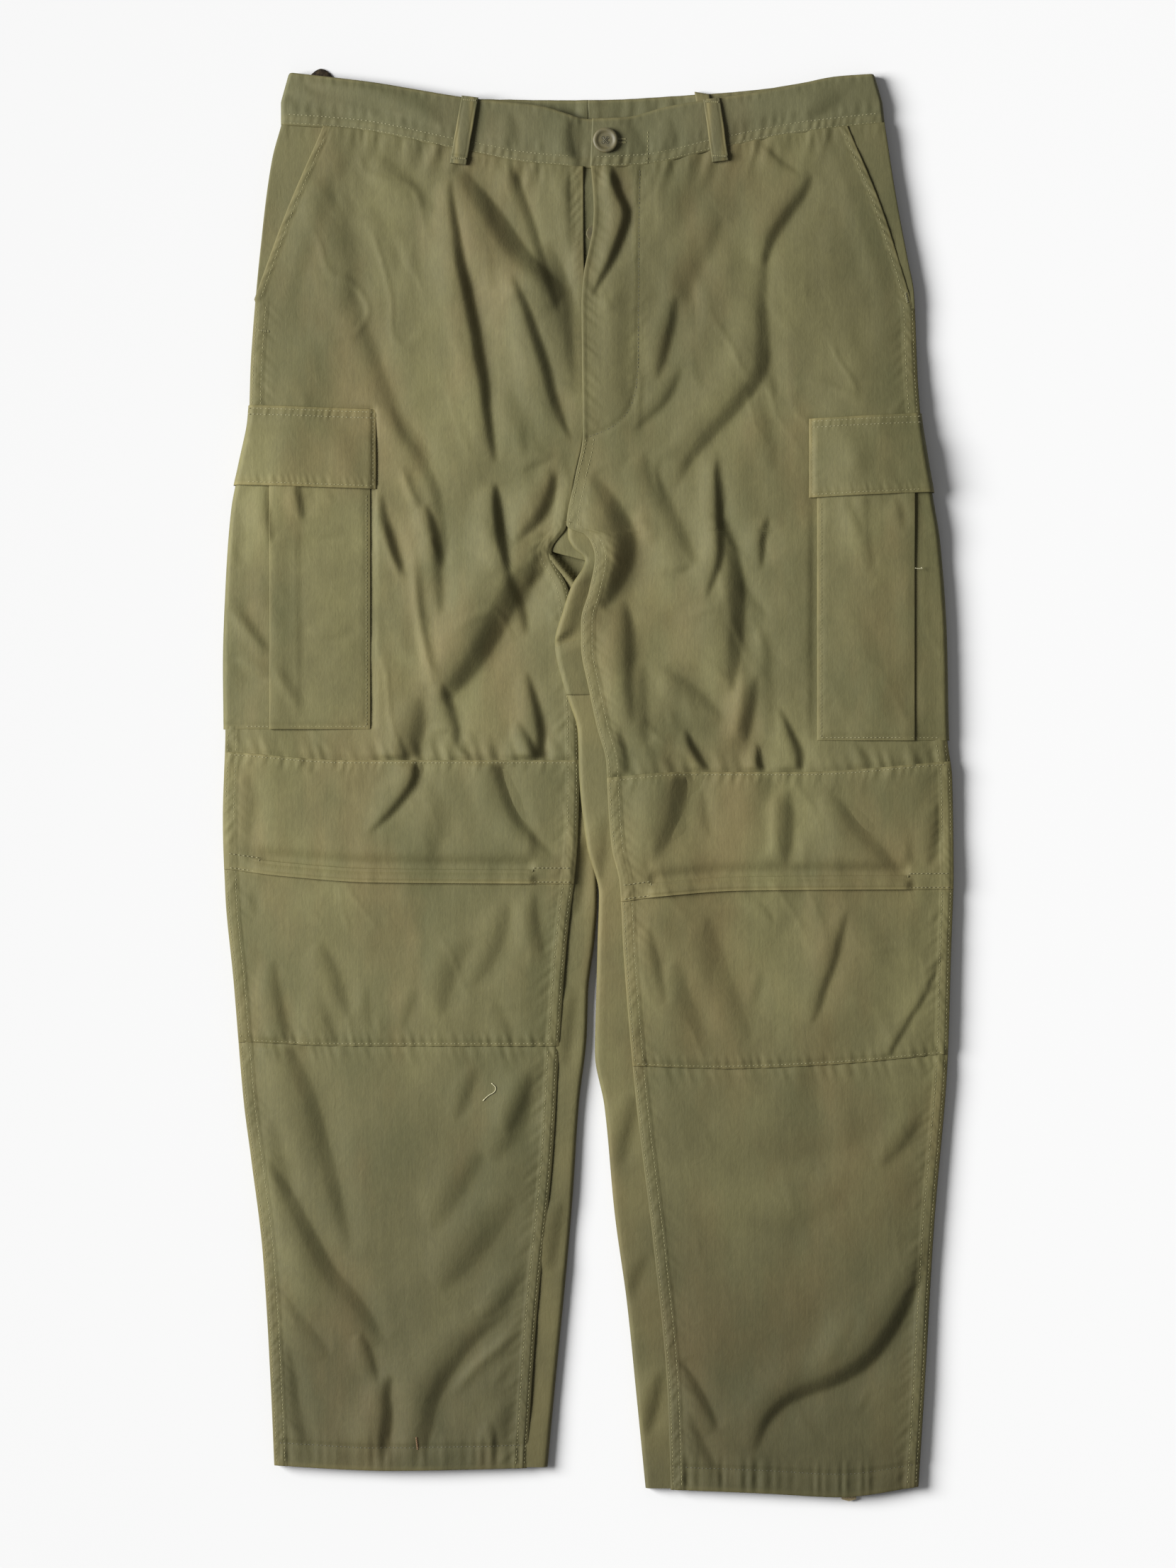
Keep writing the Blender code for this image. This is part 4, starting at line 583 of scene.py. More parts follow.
def front_top(leg, x, down):
    """The upper face of a front panel."""
    out, seed = OUTWARD[leg], SEEDS["front"][leg]
    from_in = out * (x - front_in[leg](down))
    from_out = out * (front_out(leg, down) - x)
    from_band = down - front_band_seam(x)
    from_hem = hem_edge[leg](x) - down
    plain = covered(leg, x, down)
    z = base(leg, x, down) + REST + CLOTH - 0.8 * plain
    z += SLANT_RISE * (1 - ramp(from_out, 18, 34)) * (1 - ramp(down, SLANT_FOOT + 12, SLANT_FOOT + 40))
    if leg == "l":
        z += FLY_RISE * (1 - ramp(x, 13, 34)) * (1 - ramp(down, 240, 300))
    folds = fold_height("front_" + leg, x, down)
    if leg == "r":
        folds = folds * (1 - 0.8 * (1 - ramp(from_in, 5, 22)) * ramp(down, 375, 400))
    seams = ramp(np.minimum(from_in, from_out), 2.0, LAP + 6)
    folds = folds * (0.25 + 0.75 * seams) * (0.3 + 0.7 * ramp(from_band, 0, 12))
    z += folds * ramp(from_hem, 3, HEM_DEEP + 10) * (1 - plain)
    calm = 1 - 0.75 * ramp(down, 690, 760)
    fine = calm * (0.55 * wrinkles(x, down, seed + 5) + 0.2 * wander(x, down / 1.6, 11.0, seed + 4))
    z += (0.35 * wander(x, down, 34.0, seed + 3) + fine * ramp(from_band, 6, 30)) * (1 - plain)
    # seams and their gathers
    below_pocket = ramp(down, SLANT_FOOT - 6, SLANT_FOOT + 4)
    outer_round, inner_round = SEAM_ROUND[leg]
    z += felled(from_out, down, seed + 10, outer_round) * below_pocket
    z += felled(from_in, down, seed + 20, inner_round) * ramp(down, 300, 345)
    above_patch, below_patch = patch_top[leg](x) - down, down - patch_end[leg](x)
    z += pucker(x + 0.3 * above_patch, seed + 45, 12.0) * bump(above_patch, 2, 11.0) * (above_patch > -6)
    z += 0.6 * pucker(x - 0.3 * below_patch, seed + 47, 9.0) * bump(below_patch, 4, 8.0) * (below_patch > -6)
    z += 0.8 * (1 - ramp(from_band, 0, 16))
    z += 0.4 * pucker(x, seed + 30, 7.0) * bump(from_band, 4, 6.0)
    z += pucker(x + 0.3 * from_band, seed + 35, 15.0) * bump(from_band, 4, 15.0) * ramp(from_out, 4, 16)
    slanted = (1 - below_pocket) * (0.5 * (1 - ramp(from_out, 4.6, 6.6)) - 0.3 * bump(from_out, 4.4, 0.7))
    slant_gathers = pucker(down - 0.9 * out * x, seed + 33) * bump(from_out, 3.0, 3.0)
    z += slanted + (1 - below_pocket) * 0.5 * slant_gathers
    z -= 0.8 * bump(from_hem, HEM_DEEP + 0.4, 1.5)
    z -= 0.4 * (1 - ramp(from_hem, HEM_DEEP - 1.5, HEM_DEEP + 0.8))
    gathers = pucker(x, seed + 40, 8.5)
    z += 0.75 * gathers * (bump(from_hem, 9.0, 8.0) + 0.5 * bump(from_hem, HEM_DEEP + 4, 6.0))
    if leg == "l":
        from_j = off_line(rounded(FLY_J), x, down)[0]
        z -= 0.75 * bump(from_j, 0.0, 1.5)
        beside_j = bump(np.abs(from_j), 4.5, 3.0) * (x > 30) * (1 - ramp(down, 245, 262))
        z += 0.4 * pucker(down + 0.9 * x, seed + 50, 6.5) * beside_j
        z += 0.9 * ramp(40.0 - x, -2.0, 3.0) * (1 - ramp(down, 255, 276))
        on_fly = bump(from_in, 6.5, 6.0) * (1 - ramp(down, 268, 290))
        z += 0.55 * pucker(down - 0.8 * x, seed + 51, 9.0) * on_fly
        z += 0.9 * lump(x, down, HIDDEN_FLY_BUTTON_AT, 42.0)
        z += 0.4 * (1 - ramp(from_in, 1.5, 3.5)) * (1 - ramp(down, 268, 300))
    else:
        on_edge = bump(from_in, 5.0, 3.6) * (1 - ramp(down, 140, 165))
        z += 0.7 * pucker(down + 1.1 * x, seed + 52, 6.5) * on_edge
        z -= 0.35 * bump(from_in, 9.6, 1.8) * (1 - ramp(down, 100, 150))
    return z


def patch_surface(leg, x, down):
    """The upper face of a knee patch, without the tuck's extra layers."""
    out, seed = OUTWARD[leg], SEEDS["patch"][leg]
    from_top, from_end = down - patch_top[leg](x), patch_end[leg](x) - down
    from_in, from_out = out * (x - front_in[leg](down)), out * (outseam[leg](down) - x)
    tuck = down - patch_tuck[leg](x)
    z = base(leg, x, down) + REST + 2 * CLOTH
    inside = ramp(from_top, -1, 5) * ramp(from_end, -1, 5) * (1 - 0.6 * bump(tuck, 0, 13))
    edges = 0.3 + 0.7 * ramp(np.minimum(from_in, from_out), 2.0, LAP + 6)
    z += fold_height("patch_" + leg, x, down) * inside * edges
    z += 0.32 * wander(x, down, 30.0, seed) + 0.2 * wander(x, down / 1.6, 11.0, seed + 1)
    z += 0.3 * wrinkles(x, down, seed + 5)
    outer_round, inner_round = SEAM_ROUND[leg]
    z += felled(from_out, down, seed + 10, outer_round) + felled(from_in, down, seed + 20, inner_round)
    for off, more in ((from_top, 30), (from_end, 33)):
        z -= 0.9 * (1 - ramp(off, 0.0, 6.0)) + 0.2 * bump(off, 1.6, 0.8)
        z += 0.7 * pucker(x + 0.25 * off, seed + more, 7.5) * bump(off, 3.0, 6.0)
    z += 0.3 * pucker(x, seed + 36, 14.0) * bump(tuck, -6.0, 9.0)
    z -= 0.5 * bump(tuck, 6.0, 6.0)
    return z


def pouch_surface(leg, x, down):
    """The upper face of a cargo pouch, without the pleat's extra layers."""
    seed, pocket, out = SEEDS["pouch"][leg], POCKET[leg], OUTWARD[leg]
    z = base(leg, x, down) + REST + 2 * CLOTH
    z += np.maximum(fold_height("pouch_" + leg, x, down), -0.6)
    z += 0.30 * wander(x, down, 36.0, seed) + 0.18 * wander(x, down, 11.0, seed + 1)
    z += 0.25 * wrinkles(x, down, seed + 5)
    from_edge, from_end = out * (x - pocket["edge"]), pocket["bottom"] - down
    z -= 0.8 * (1 - ramp(np.minimum(from_edge, from_end), 0.0, 7.0))
    for off, run, more in ((from_edge, down, 4), (from_end, x, 7)):
        z -= 0.3 * bump(off, 1.6, 0.8)
        z += 0.3 * pucker(run + 0.9 * off, seed + more, 7.0) * bump(off, 3.5, 3.5)
    return z


def flap_edges(leg, x, down):
    """How far a place on a flap is in from its top, its lower edge and its front edge."""
    pocket, out = POCKET[leg], OUTWARD[leg]
    u = np.clip((x - pocket["flap_edge"]) / (side[leg](FLAP_LEVEL) - pocket["flap_edge"]), 0, 1)
    lean = FLAP_LEAN[leg] * (0.5 - u)
    return down - lean - pocket["flap_top"], pocket["flap_end"] + lean - down, out * (x - pocket["flap_edge"])


def flap_surface(leg, x, down):
    """The upper face of a pocket flap."""
    seed, pocket, out = SEEDS["flap"][leg], POCKET[leg], OUTWARD[leg]
    from_top, from_end, from_edge = flap_edges(leg, x, down)
    over = ramp(down, pocket["mouth"] - 24, pocket["mouth"] - 8) * ramp(from_edge, -6, 6)
    inward = ramp(out * (x - pocket["edge"]), -8, 30) * (1 - ramp(out * (x - pocket["pleat"]), 10, 28))
    z = base(leg, x, down) + REST + CLOTH + 1.9 + over * (1.2 + 1.6 * inward)
    z -= 1.0 * (1 - ramp(from_edge, 0, 6)) + 0.7 * (1 - ramp(np.minimum(from_top, from_end), 0, 4))
    z += 0.35 * wander(x, down, 26.0, seed) + 0.12 * wander(x, down, 11.0, seed + 1)
    for off, run, more in ((from_top, x, 2), (from_end, x, 5), (from_edge, down, 8)):
        z -= 0.3 * (bump(off, FLAP_ROWS[0], 0.8) + bump(off, FLAP_ROWS[1], 0.8) * (more == 2))
        strong = 0.4 if more == 2 else 0.3
        z += strong * pucker(run + 0.3 * off, seed + more, 5.4) * bump(off, 4.2, 3.6)
    if leg == "l":
        z += 1.1 * lump(x, down, HIDDEN_FLAP_BUTTON_AT, 75.0)
    return z


def band_surface(leg, x, down):
    """The upper face of the waistband's front half."""
    seed = SEEDS["band"][leg]
    from_seam, from_top = front_band_seam(x) - down, down - front_band_top(x)
    rise = FLY_RISE * (1 - ramp(x, 17, 38)) if leg == "l" else 0.0
    z = REST + BAND - 0.1 + rise - 0.5 * (1 - ramp(from_seam, 0.0, 1.4))
    z = z + 0.9 * bump(from_seam, 20.0, 13.0) + 0.45 * wander(x, down, 26.0, seed)
    z = z + fold_height("band_" + leg, x, down) * ramp(from_seam, 3, 12) * ramp(from_top, 0, 7)
    z = z - 0.35 * sum(bump(from_seam, row, 0.8) for row in BAND_ROWS)
    z = z + 0.6 * pucker(x - 0.3 * from_seam, seed + 2, 6.6) * bump(from_seam, 5.2, 3.3)
    z = z + 0.35 * pucker(x, seed + 5, 9.0) * bump(from_seam, 13.0, 5.0)
    z = z + 0.30 * pucker(x, seed + 8, 7.0) * bump(from_top, 3.0, 3.5)
    return z


# ---------------------------------------------------------------- making meshes
buckle_lo, buckle_hi = (np.array(c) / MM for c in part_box("tab_buckle"))
button_lo, button_hi = (np.array(c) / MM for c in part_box("waist_button"))
SHIFT = (button_lo + button_hi)[:2] / 2 - np.array([BUTTON_AT[0], -BUTTON_AT[1]])
UP = np.array([0.0, 0.0, 1.0])


def to_world(places):
    """(x, down, height) in mm to metres in the garment's own frame."""
    p = np.asarray(places, dtype=float)
    return np.stack([p[..., 0] + SHIFT[0], SHIFT[1] - p[..., 1], p[..., 2]], axis=-1) * MM


def make_mesh(name, points, faces, finish, nodes=(), sharp=None):
    """A mesh object from world points and faces of one size, riding with the garment."""
    mesh = bpy.data.meshes.new(name)
    points, faces = np.asarray(points, dtype=np.float32), np.asarray(faces, dtype=np.int32)
    corners = faces.shape[1]
    mesh.vertices.add(len(points))
    mesh.vertices.foreach_set("co", points.ravel())
    mesh.loops.add(faces.size)
    mesh.loops.foreach_set("vertex_index", faces.ravel())
    mesh.polygons.add(len(faces))
    mesh.polygons.foreach_set("loop_start", np.arange(0, faces.size, corners, dtype=np.int32))
    mesh.update(calc_edges=True)
    mesh.validate()
    mesh.shade_smooth()
    if sharp:
        mesh.set_sharp_from_angle(angle=math.radians(sharp))
    mesh.materials.append(finish)
    piece = bpy.data.objects.new(name, mesh)
    bpy.context.scene.collection.objects.link(piece)
    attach(piece, "root")
    if nodes:
        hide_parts(*nodes)
    return piece


def turned_rim(x, down, z, thick=CLOTH, tucked=2.0):
    """A grid of places with a rim round it: the cloth's edge turns down by thick and back under itself."""
    grid = np.stack([x, down, z], axis=-1)
    for axis in (0, 1):
        for end in (0, -1):
            g = np.moveaxis(grid, axis, 0)
            edge, inner_row = g[end], g[1 if end == 0 else -2]
            out = edge - inner_row
            out[..., 2] = 0.0
            out /= np.maximum(np.linalg.norm(out, axis=-1, keepdims=True), 1e-6)
            rim = [edge + out * 0.35 - UP * 0.22 * thick, edge + out * 0.45 - UP * 0.6 * thick,
                   edge + out * 0.2 - UP * thick, edge - out * tucked - UP * thick]
            rim = np.stack(rim[::-1] if end == 0 else rim)
            g = np.concatenate([rim, g]) if end == 0 else np.concatenate([g, rim])
            grid = np.moveaxis(g, 0, axis)
    return grid


def cloth(name, grid, finish, nodes=(), face_up=True, closed_with=None):
    """A sheet of cloth over a grid of (x, down, height). closed_with is the same grid's other face."""
    world = to_world(grid)
    rows, cols = world.shape[:2]
    index = np.arange(rows * cols).reshape(rows, cols)
    quads = np.stack([index[:-1, :-1], index[1:, :-1], index[1:, 1:], index[:-1, 1:]], axis=-1).reshape(-1, 4)
    u = world[rows // 2, cols // 2 + 1] - world[rows // 2, cols // 2]
    v = world[rows // 2 + 1, cols // 2] - world[rows // 2, cols // 2]
    if (np.cross(v, u)[2] > 0) != face_up:
        quads = quads[:, ::-1]
    points = world.reshape(-1, 3)
    if closed_with is not None:
        n = rows * cols
        border = np.concatenate([index[0, :], index[1:, -1], index[-1, -2::-1], index[-2:0:-1, 0]])
        after = np.roll(border, -1)
        rim = np.stack([border, after, after + n, border + n], axis=-1)
        first = quads[0].tolist()
        if (0, 1) in zip(first, first[1:] + first[:1]):  # the border runs the same way as the faces
            rim = rim[:, ::-1]
        quads = np.concatenate([quads, quads[:, ::-1] + n, rim])
        points = np.concatenate([points, to_world(closed_with).reshape(-1, 3)])
    return make_mesh(name, points, quads, finish, nodes)


def ring_faces(rings, turns):
    """The faces between rings of turns points each, one ring after another."""
    faces = []
    for r in range(rings - 1):
        for k in range(turns):
            j = (k + 1) % turns
            faces.append((r * turns + k, r * turns + j, (r + 1) * turns + j, (r + 1) * turns + k))
    return np.array(faces)


def spread(start, end, step):
    """Evenly spaced values from start to end, about step apart."""
    return np.linspace(start, end, max(2, int(round(abs(end - start) / step)) + 1))


def with_edges(total, step, fine, reach=12.0):
    """Shares from 0 to 1 across a width of total mm: fine steps near both edges, wider steps between."""
    left = np.arange(0, reach, fine)
    middle = spread(reach, total - reach, step)
    return np.concatenate([left, middle, total - left[::-1]]) / total


def shares(rows, columns):
    """How far down and how far across each place of a grid is, from 0 to 1."""
    return np.meshgrid(np.linspace(0, 1, rows), np.linspace(0, 1, columns), indexing="ij")


# ---------------------------------------------------------------- finishes


def hex_colour(code):
    """An sRGB hex value as linear RGBA."""
    values = [int(code[i:i + 2], 16) / 255 for i in (1, 3, 5)]
    return (*[c / 12.92 if c <= 0.04045 else ((c + 0.055) / 1.055) ** 2.4 for c in values], 1.0)


def add(tree, kind, links=(), **settings):
    """Adds a node with its settings, then links: (input, the other node's output)."""
    node = tree.nodes.new(kind)
    for key, value in settings.items():
        if hasattr(node, key):
            setattr(node, key, value)
        else:
            node.inputs[key.replace("_", " ").title()].default_value = value
    for entry, source in links:
        tree.links.new(source, node.inputs[entry])
    return node


def new_finish(name, **settings):
    """A new material, its tree, its shader with these settings, and coordinates on the piece itself."""
    finish = bpy.data.materials.new(name)
    finish.use_nodes = True
    tree = finish.node_tree
    shader = tree.nodes["Principled BSDF"]
    for key, value in settings.items():
        shader.inputs[key.replace("_", " ").title().replace("Ior", "IOR")].default_value = value
    return finish, tree, shader, add(tree, "ShaderNodeTexCoord").outputs["Object"]


def colour_ramp(tree, source, stops):
    """Colours, or plain shares, that follow a value: stops are (place, colour)."""
    node = add(tree, "ShaderNodeValToRGB", [("Fac", source)])
    elements = node.color_ramp.elements
    while len(elements) < len(stops):
        elements.new(0.5)
    for element, (place, code) in zip(elements, stops):
        element.position = place
        element.color = hex_colour(code) if isinstance(code, str) else (code, code, code, 1.0)
    return node.outputs["Color"]


def tint(tree, shader, source, stops):
    """Lets the shader's colour follow a value."""
    tree.links.new(colour_ramp(tree, source, stops), shader.inputs["Base Color"])


def mapped_noise(tree, coords, size_mm, detail, rough, distortion=0.0):
    """Noise whose lumps are size_mm = (x, y, z) across."""
    scaled = add(tree, "ShaderNodeMapping", [("Vector", coords)])
    scaled.inputs["Scale"].default_value = [1.0 / (s * MM) for s in size_mm]
    noise = add(tree, "ShaderNodeTexNoise", [("Vector", scaled.outputs["Vector"])], scale=1.0, detail=detail,
                roughness=rough, distortion=distortion)
    return noise.outputs["Fac"]


def mix(tree, blend, fac, a, b):
    """One colour over another; each of the three may be a value or another node's output."""
    node = add(tree, "ShaderNodeMix", data_type="RGBA", blend_type=blend)
    for socket, value in ((node.inputs[0], fac), (node.inputs[6], a), (node.inputs[7], b)):
        if hasattr(value, "links"):
            tree.links.new(value, socket)
        else:
            socket.default_value = value
    return node.outputs[2]


def bumps(tree, height, strength, distance, under=()):
    """A bumped normal from a height, over another bumped normal if there is one."""
    return add(tree, "ShaderNodeBump", [("Height", height), *under], strength=strength,
               distance=distance).outputs["Normal"]


# Painted shade down the garment: the tone the cloth's colour is multiplied by, darker at the waist and much
# darker at the hems: (share of the length, tone).
PAINTED_SHADE_DOWN_LEG = [(0.0, 0.88), (0.09, 0.86), (0.18, 0.86), (0.26, 1.0), (0.66, 0.99), (0.76, 0.82), (0.92, 0.64),
            (1.0, 0.58)]
HALF_LONG = 0.54  # half the garment's length, m


def cotton_sateen(name, deep, middle, light, tan):
    """Cotton sateen, woven with floating warp threads, dyed and washed: fine streaks run down the leg, the
    dye has gone uneven in soft patches, shade is painted in towards the waist and the hems, and the floats
    give a low sheen. The real threads are 0.3 mm apart; they are drawn 0.7 mm apart so that they show."""
    finish, tree, shader, coords = new_finish(
        name, roughness=0.74, specular_ior_level=0.34, ior=1.46, sheen_weight=0.03, sheen_roughness=0.45,
        sheen_tint=hex_colour("#b7b27c"))
    clouds = mapped_noise(tree, coords, (95, 120, 60), 4.0, 0.6)
    colour = colour_ramp(tree, clouds, [(0.32, deep), (0.5, middle), (0.68, light)])
    browned = mapped_noise(tree, coords, (70, 160, 60), 3.0, 0.6)
    brown = colour_ramp(tree, browned, [(0.5, 0.0), (0.72, 0.55)])
    colour = mix(tree, "MIX", brown, colour, hex_colour(tan))
    streaks = mapped_noise(tree, coords, (1.3, 70, 4), 3.0, 0.7)
    colour = mix(tree, "SOFT_LIGHT", 0.55, colour, colour_ramp(tree, streaks, [(0.3, 0.43), (0.7, 0.57)]))
    threads = mapped_noise(tree, coords, (0.7, 5.0, 3), 2.0, 0.6)
    colour = mix(tree, "SOFT_LIGHT", 0.6, colour, colour_ramp(tree, threads, [(0.3, 0.42), (0.7, 0.58)]))
    # painted shade: the colour is multiplied darker towards the waist and the hems, by share of the garment's
    # length
    down_leg = add(tree, "ShaderNodeSeparateXYZ", [("Vector", coords)]).outputs["Y"]
    along = add(tree, "ShaderNodeMapRange", [("Value", down_leg)], from_min=HALF_LONG, from_max=-HALF_LONG)
    colour = mix(tree, "MULTIPLY", 1.0, colour, colour_ramp(tree, along.outputs["Result"], PAINTED_SHADE_DOWN_LEG))
    worn = add(tree, "ShaderNodeAttribute", attribute_name="worn").outputs["Fac"]
    colour = mix(tree, "MIX", worn, colour, hex_colour("#756b43"))
    tree.links.new(colour, shader.inputs["Base Color"])
    weave = bumps(tree, threads, 0.25, 0.0002)
    crumple = mapped_noise(tree, coords, (9, 14, 9), 4.0, 0.6, 0.6)
    tree.links.new(bumps(tree, crumple, 0.35, 0.0009, [("Normal", weave)]), shader.inputs["Normal"])
    return finish


def cotton_thread(name, code):
    """Mercerised cotton sewing thread, twisted: a little glossier and paler than the cloth."""
    return new_finish(name, roughness=0.5, base_color=hex_colour(code), sheen_weight=0.2)[0]


def button_hole_shade(name):
    """Painted shade inside a button's holes: dull and dark."""
    return new_finish(name, roughness=0.9, base_color=hex_colour("#2c2a1c"))[0]


def moulded_melamine(name):
    """Melamine buttons, compression moulded: dull gloss with faint cloudy streaks."""
    finish, tree, shader, coords = new_finish(name, roughness=0.6, ior=1.55)
    clouds = mapped_noise(tree, coords, (5, 5, 5), 3.0, 0.6, 1.0)
    tint(tree, shader, clouds, [(0.3, "#3e3a22"), (0.7, "#524b2d")])
    return finish


def aged_brass(name):
    """Brass wire and plate, blackened and rubbed: dark with warm glints on its edges."""
    finish, tree, shader, coords = new_finish(name, roughness=0.42, metallic=0.9)
    scuffs = mapped_noise(tree, coords, (3, 3, 3), 4.0, 0.6)
    tint(tree, shader, scuffs, [(0.35, "#2a2622"), (0.75, "#5c4f3c")])
    return finish


def woven_tape(name):
    """Cotton herringbone tape, woven and unbleached."""
    finish, tree, shader, coords = new_finish(name, roughness=0.8)
    ribs = mapped_noise(tree, coords, (0.6, 2.5, 2), 2.0, 0.5)
    tint(tree, shader, ribs, [(0.3, "#7d6f52"), (0.7, "#a3946f")])
    tree.links.new(bumps(tree, ribs, 1.0, 0.0003), shader.inputs["Normal"])
    return finish


SATEEN = cotton_sateen("cotton_sateen", "#4e4c2e", "#565233", "#605c3a", "#625534")
SATEEN_BAND = cotton_sateen("cotton_sateen_waistband", "#4c4b2f", "#535135", "#5b593c", "#585034")
SATEEN_INSIDE = cotton_sateen("cotton_sateen_inside", "#4b4a2d", "#525033", "#595639", "#575030")
THREAD = cotton_thread("cotton_thread_olive", "#6f6a43")
# A darker copy of the thread for the rows that sit down in grooves and in the button's dish: painted shade.
THREAD_PAINTED_SHADE = cotton_thread("cotton_thread_in_the_shade", "#3f3c25")
RUST_THREAD = cotton_thread("cotton_thread_rust", "#6a4c28")
BUTTON = moulded_melamine("moulded_melamine")
BRASS = aged_brass("aged_brass")
TAPE = woven_tape("woven_cotton_tape")
HOLE_PAINTED_SHADE = button_hole_shade("melamine_hole")
LINT = cotton_thread("cotton_lint", "#b3ae8b")


def wear(piece, amount):
    """Paints how pale the cloth has worn at each point, from 0 to 1."""
    layer = piece.data.attributes.new("worn", "FLOAT", "POINT")
    layer.data.foreach_set("value", np.full(len(piece.data.vertices), np.ravel(amount), dtype=np.float32))


def rubbed(edge, along=1.0):
    """The pale line of a felled edge and the paler lap behind it."""
    return 0.30 * bump(edge, 0.6, 1.4) + 0.14 * bump(edge, 5.0, 3.2) * along


# ---------------------------------------------------------------- the cloth pieces
# How finely the pieces are laid out: (rows, columns), or steps.
FRONT_ROWS, BACK_GRID, TURN_STEPS, LIP_STEPS = 520, (420, 104), 7, 10
PATCH_UPPER_ROWS, FOLD_STEPS, FLAP_COLUMNS = 50, 6, 96
FACING_GRID, LOOP_GRID, UNDERLAP_GRID = (90, 26), (60, 17), (100, 14)
CROTCH_GRID, SEAT_GRID = (26, 22), (50, 16)
BAND_ROWS_WIDE, BAND_FRONT_STEPS, BAND_BACK_STEPS = 28, 190, 130
FIT_ROUNDS = 8
SIDE_STEPS = 12


def fitted(x_at, top, foot, t, down):
    """A grid's (x, down), t of the way from top(x) to foot(x), when x in turn follows from x_at(down)."""
    for _ in range(FIT_ROUNDS):
        x = x_at(down)
        down = top(x) * (1 - t) + foot(x) * t
    return x, down


def front_panel(leg):
    """Waist to hem, fly to outseam, with the hem turned up at its end."""
    out, seed = OUTWARD[leg], SEEDS["wear"][leg]
    u, t = with_edges(240.0, 1.75, 1.0), np.linspace(0, 1, FRONT_ROWS)[:, None]
    x, down = fitted(lambda d: front_in[leg](d) * (1 - u) + front_out(leg, d) * u,
                     lambda x: front_band_seam(x) - 1.2, hem_edge[leg], t, 72.0 + (1060.0 - 72.0) * t)
    grid = turned_rim(x, down, front_top(leg, x, down))
    piece = cloth("front_panel_" + leg, grid, SATEEN, ["front_" + leg])
    gx, gd = grid[..., 0], grid[..., 1]
    from_in, from_out = out * (gx - front_in[leg](gd)), out * (front_out(leg, gd) - gx)
    lit = {"r": 1.0, "l": 0.45}[leg]  # the left leg's inner lap is hardly worn
    amount = rubbed(np.minimum(from_in, from_out), 0.6 + 0.5 * pucker(gd, seed))
    amount *= np.where(from_in < from_out, lit, 1.0)
    amount += 0.25 * bump(hem_edge[leg](gx) - gd, 0.5, 1.5)
    amount *= 0.7 + 0.5 * wander(gx, gd, 24.0, seed + 5)
    amount *= 1 - 0.8 * bump(gd, 400, 75) * (from_in < 20)
    wear(piece, np.clip(amount, 0, 0.6))


def roll_foot(x):
    """Where the rolled seat ends over the left leg's inner edge."""
    return 429.5 - 0.55 * (x + 23.8)


def turned_up(x0, d, outward, curl, lip):
    """The columns at a back panel's side: round the turn, as far as curl says, then over the panel by lip."""
    angle = np.maximum(math.pi * curl, 1e-3)
    radius = math.pi * (TURN + CLOTH / 2) / angle
    turns = [angle * k / TURN_STEPS for k in range(1, TURN_STEPS + 1)]
    made = [(x0 + outward * radius * np.sin(a), d, radius * (1 - np.cos(a))) for a in turns]
    x, _, z = made[-1]
    return made + [(x + outward * np.cos(angle) * lip * far, d, z + np.sin(angle) * lip * far)
                   for far in np.linspace(0.1, 1.0, LIP_STEPS)]


def back_panel(leg):
    """Lies on the floor under the front, turned up round the edges of the leg and back over itself."""
    out, seed = OUTWARD[leg], SEEDS["back"][leg]
    reach = TURN + CLOTH / 2
    t = np.linspace(0, 1, BACK_GRID[0])[:, None]

    def side_rows(x_at):
        _, d = fitted(x_at, lambda x: back_band_seam(x) + 0.6, hem_edge[leg], t, 60.0 + 1000.0 * t)
        return x_at(d), d

    in_x, in_d = side_rows(lambda d: inner[leg](d) + out * reach)
    out_x, out_d = side_rows(lambda d: side[leg](d) - out * reach)
    full = np.abs(front_in[leg](in_d) + out * LAP - in_x)
    lip_in = 0.3 + ramp(in_d, *LIP_GROWS[leg]) * (full - 0.3)
    lip_out = np.abs(outseam[leg](out_d) - out * LAP - out_x)
    columns = turned_up(in_x, in_d, -out, ramp(in_d, *CURL[leg]), lip_in)[::-1]
    for share in np.linspace(0, 1, BACK_GRID[1]):
        columns.append((in_x * (1 - share) + out_x * share, in_d * (1 - share) + out_d * share,
                        np.zeros_like(in_x)))
    columns += turned_up(out_x, out_d, out, np.ones_like(out_d), lip_out)
    x, d, z = (np.concatenate([c[i] for c in columns], axis=1) for i in range(3))
    lifted = z > reach
    lumps = 0.6 * wander(x, d, 34.0, seed) + 0.1 * pucker(d + 0.4 * x, seed + 3, 9.0)
    z = z + base(leg, x, d) + np.where(lifted, lumps * ramp(z, reach, 2 * reach), 0.0)
    z = z + fold_height("back_" + leg, x, d) * lifted
    z += 0.5 * ramp(-z, -0.4, 0.0) * np.maximum(wander(x, d, 60.0, seed + 9), 0) * (z < 0.5)
    if leg == "r":  # the seat stands up round the hollow below the crotch
        hollow = ramp(x, -42, -31) * ramp(d, 348, 358) * (1 - ramp(d, 392, 402))
        across = x - 0.85 * (d - 362)
        shelf = (5.2 + 3.2 * bump(across, -31, 4)) * (1 - 0.99 * ramp(across, -29, -23))
        z = z + hollow * shelf * (z < 3.0)
    else:  # and rolls over its own lower part at the left leg's edge
        roll = ramp(d, 364, 384) * (1 - ramp(d - roll_foot(x), -4.0, 1.5))
        roll = roll * (1 - ramp(x - inner["l"](d), 3, 19))
        z = z + 3.6 * roll * ramp(z, 3.0, 6.5)
    piece = cloth("back_panel_" + leg, np.stack([x, d, z], axis=-1), SATEEN, ["back_" + leg], face_up=False)
    wear(piece, np.clip(0.12 + 0.15 * wander(x, d, 30.0, seed + 4), 0, 0.4) * (z > 1.0))


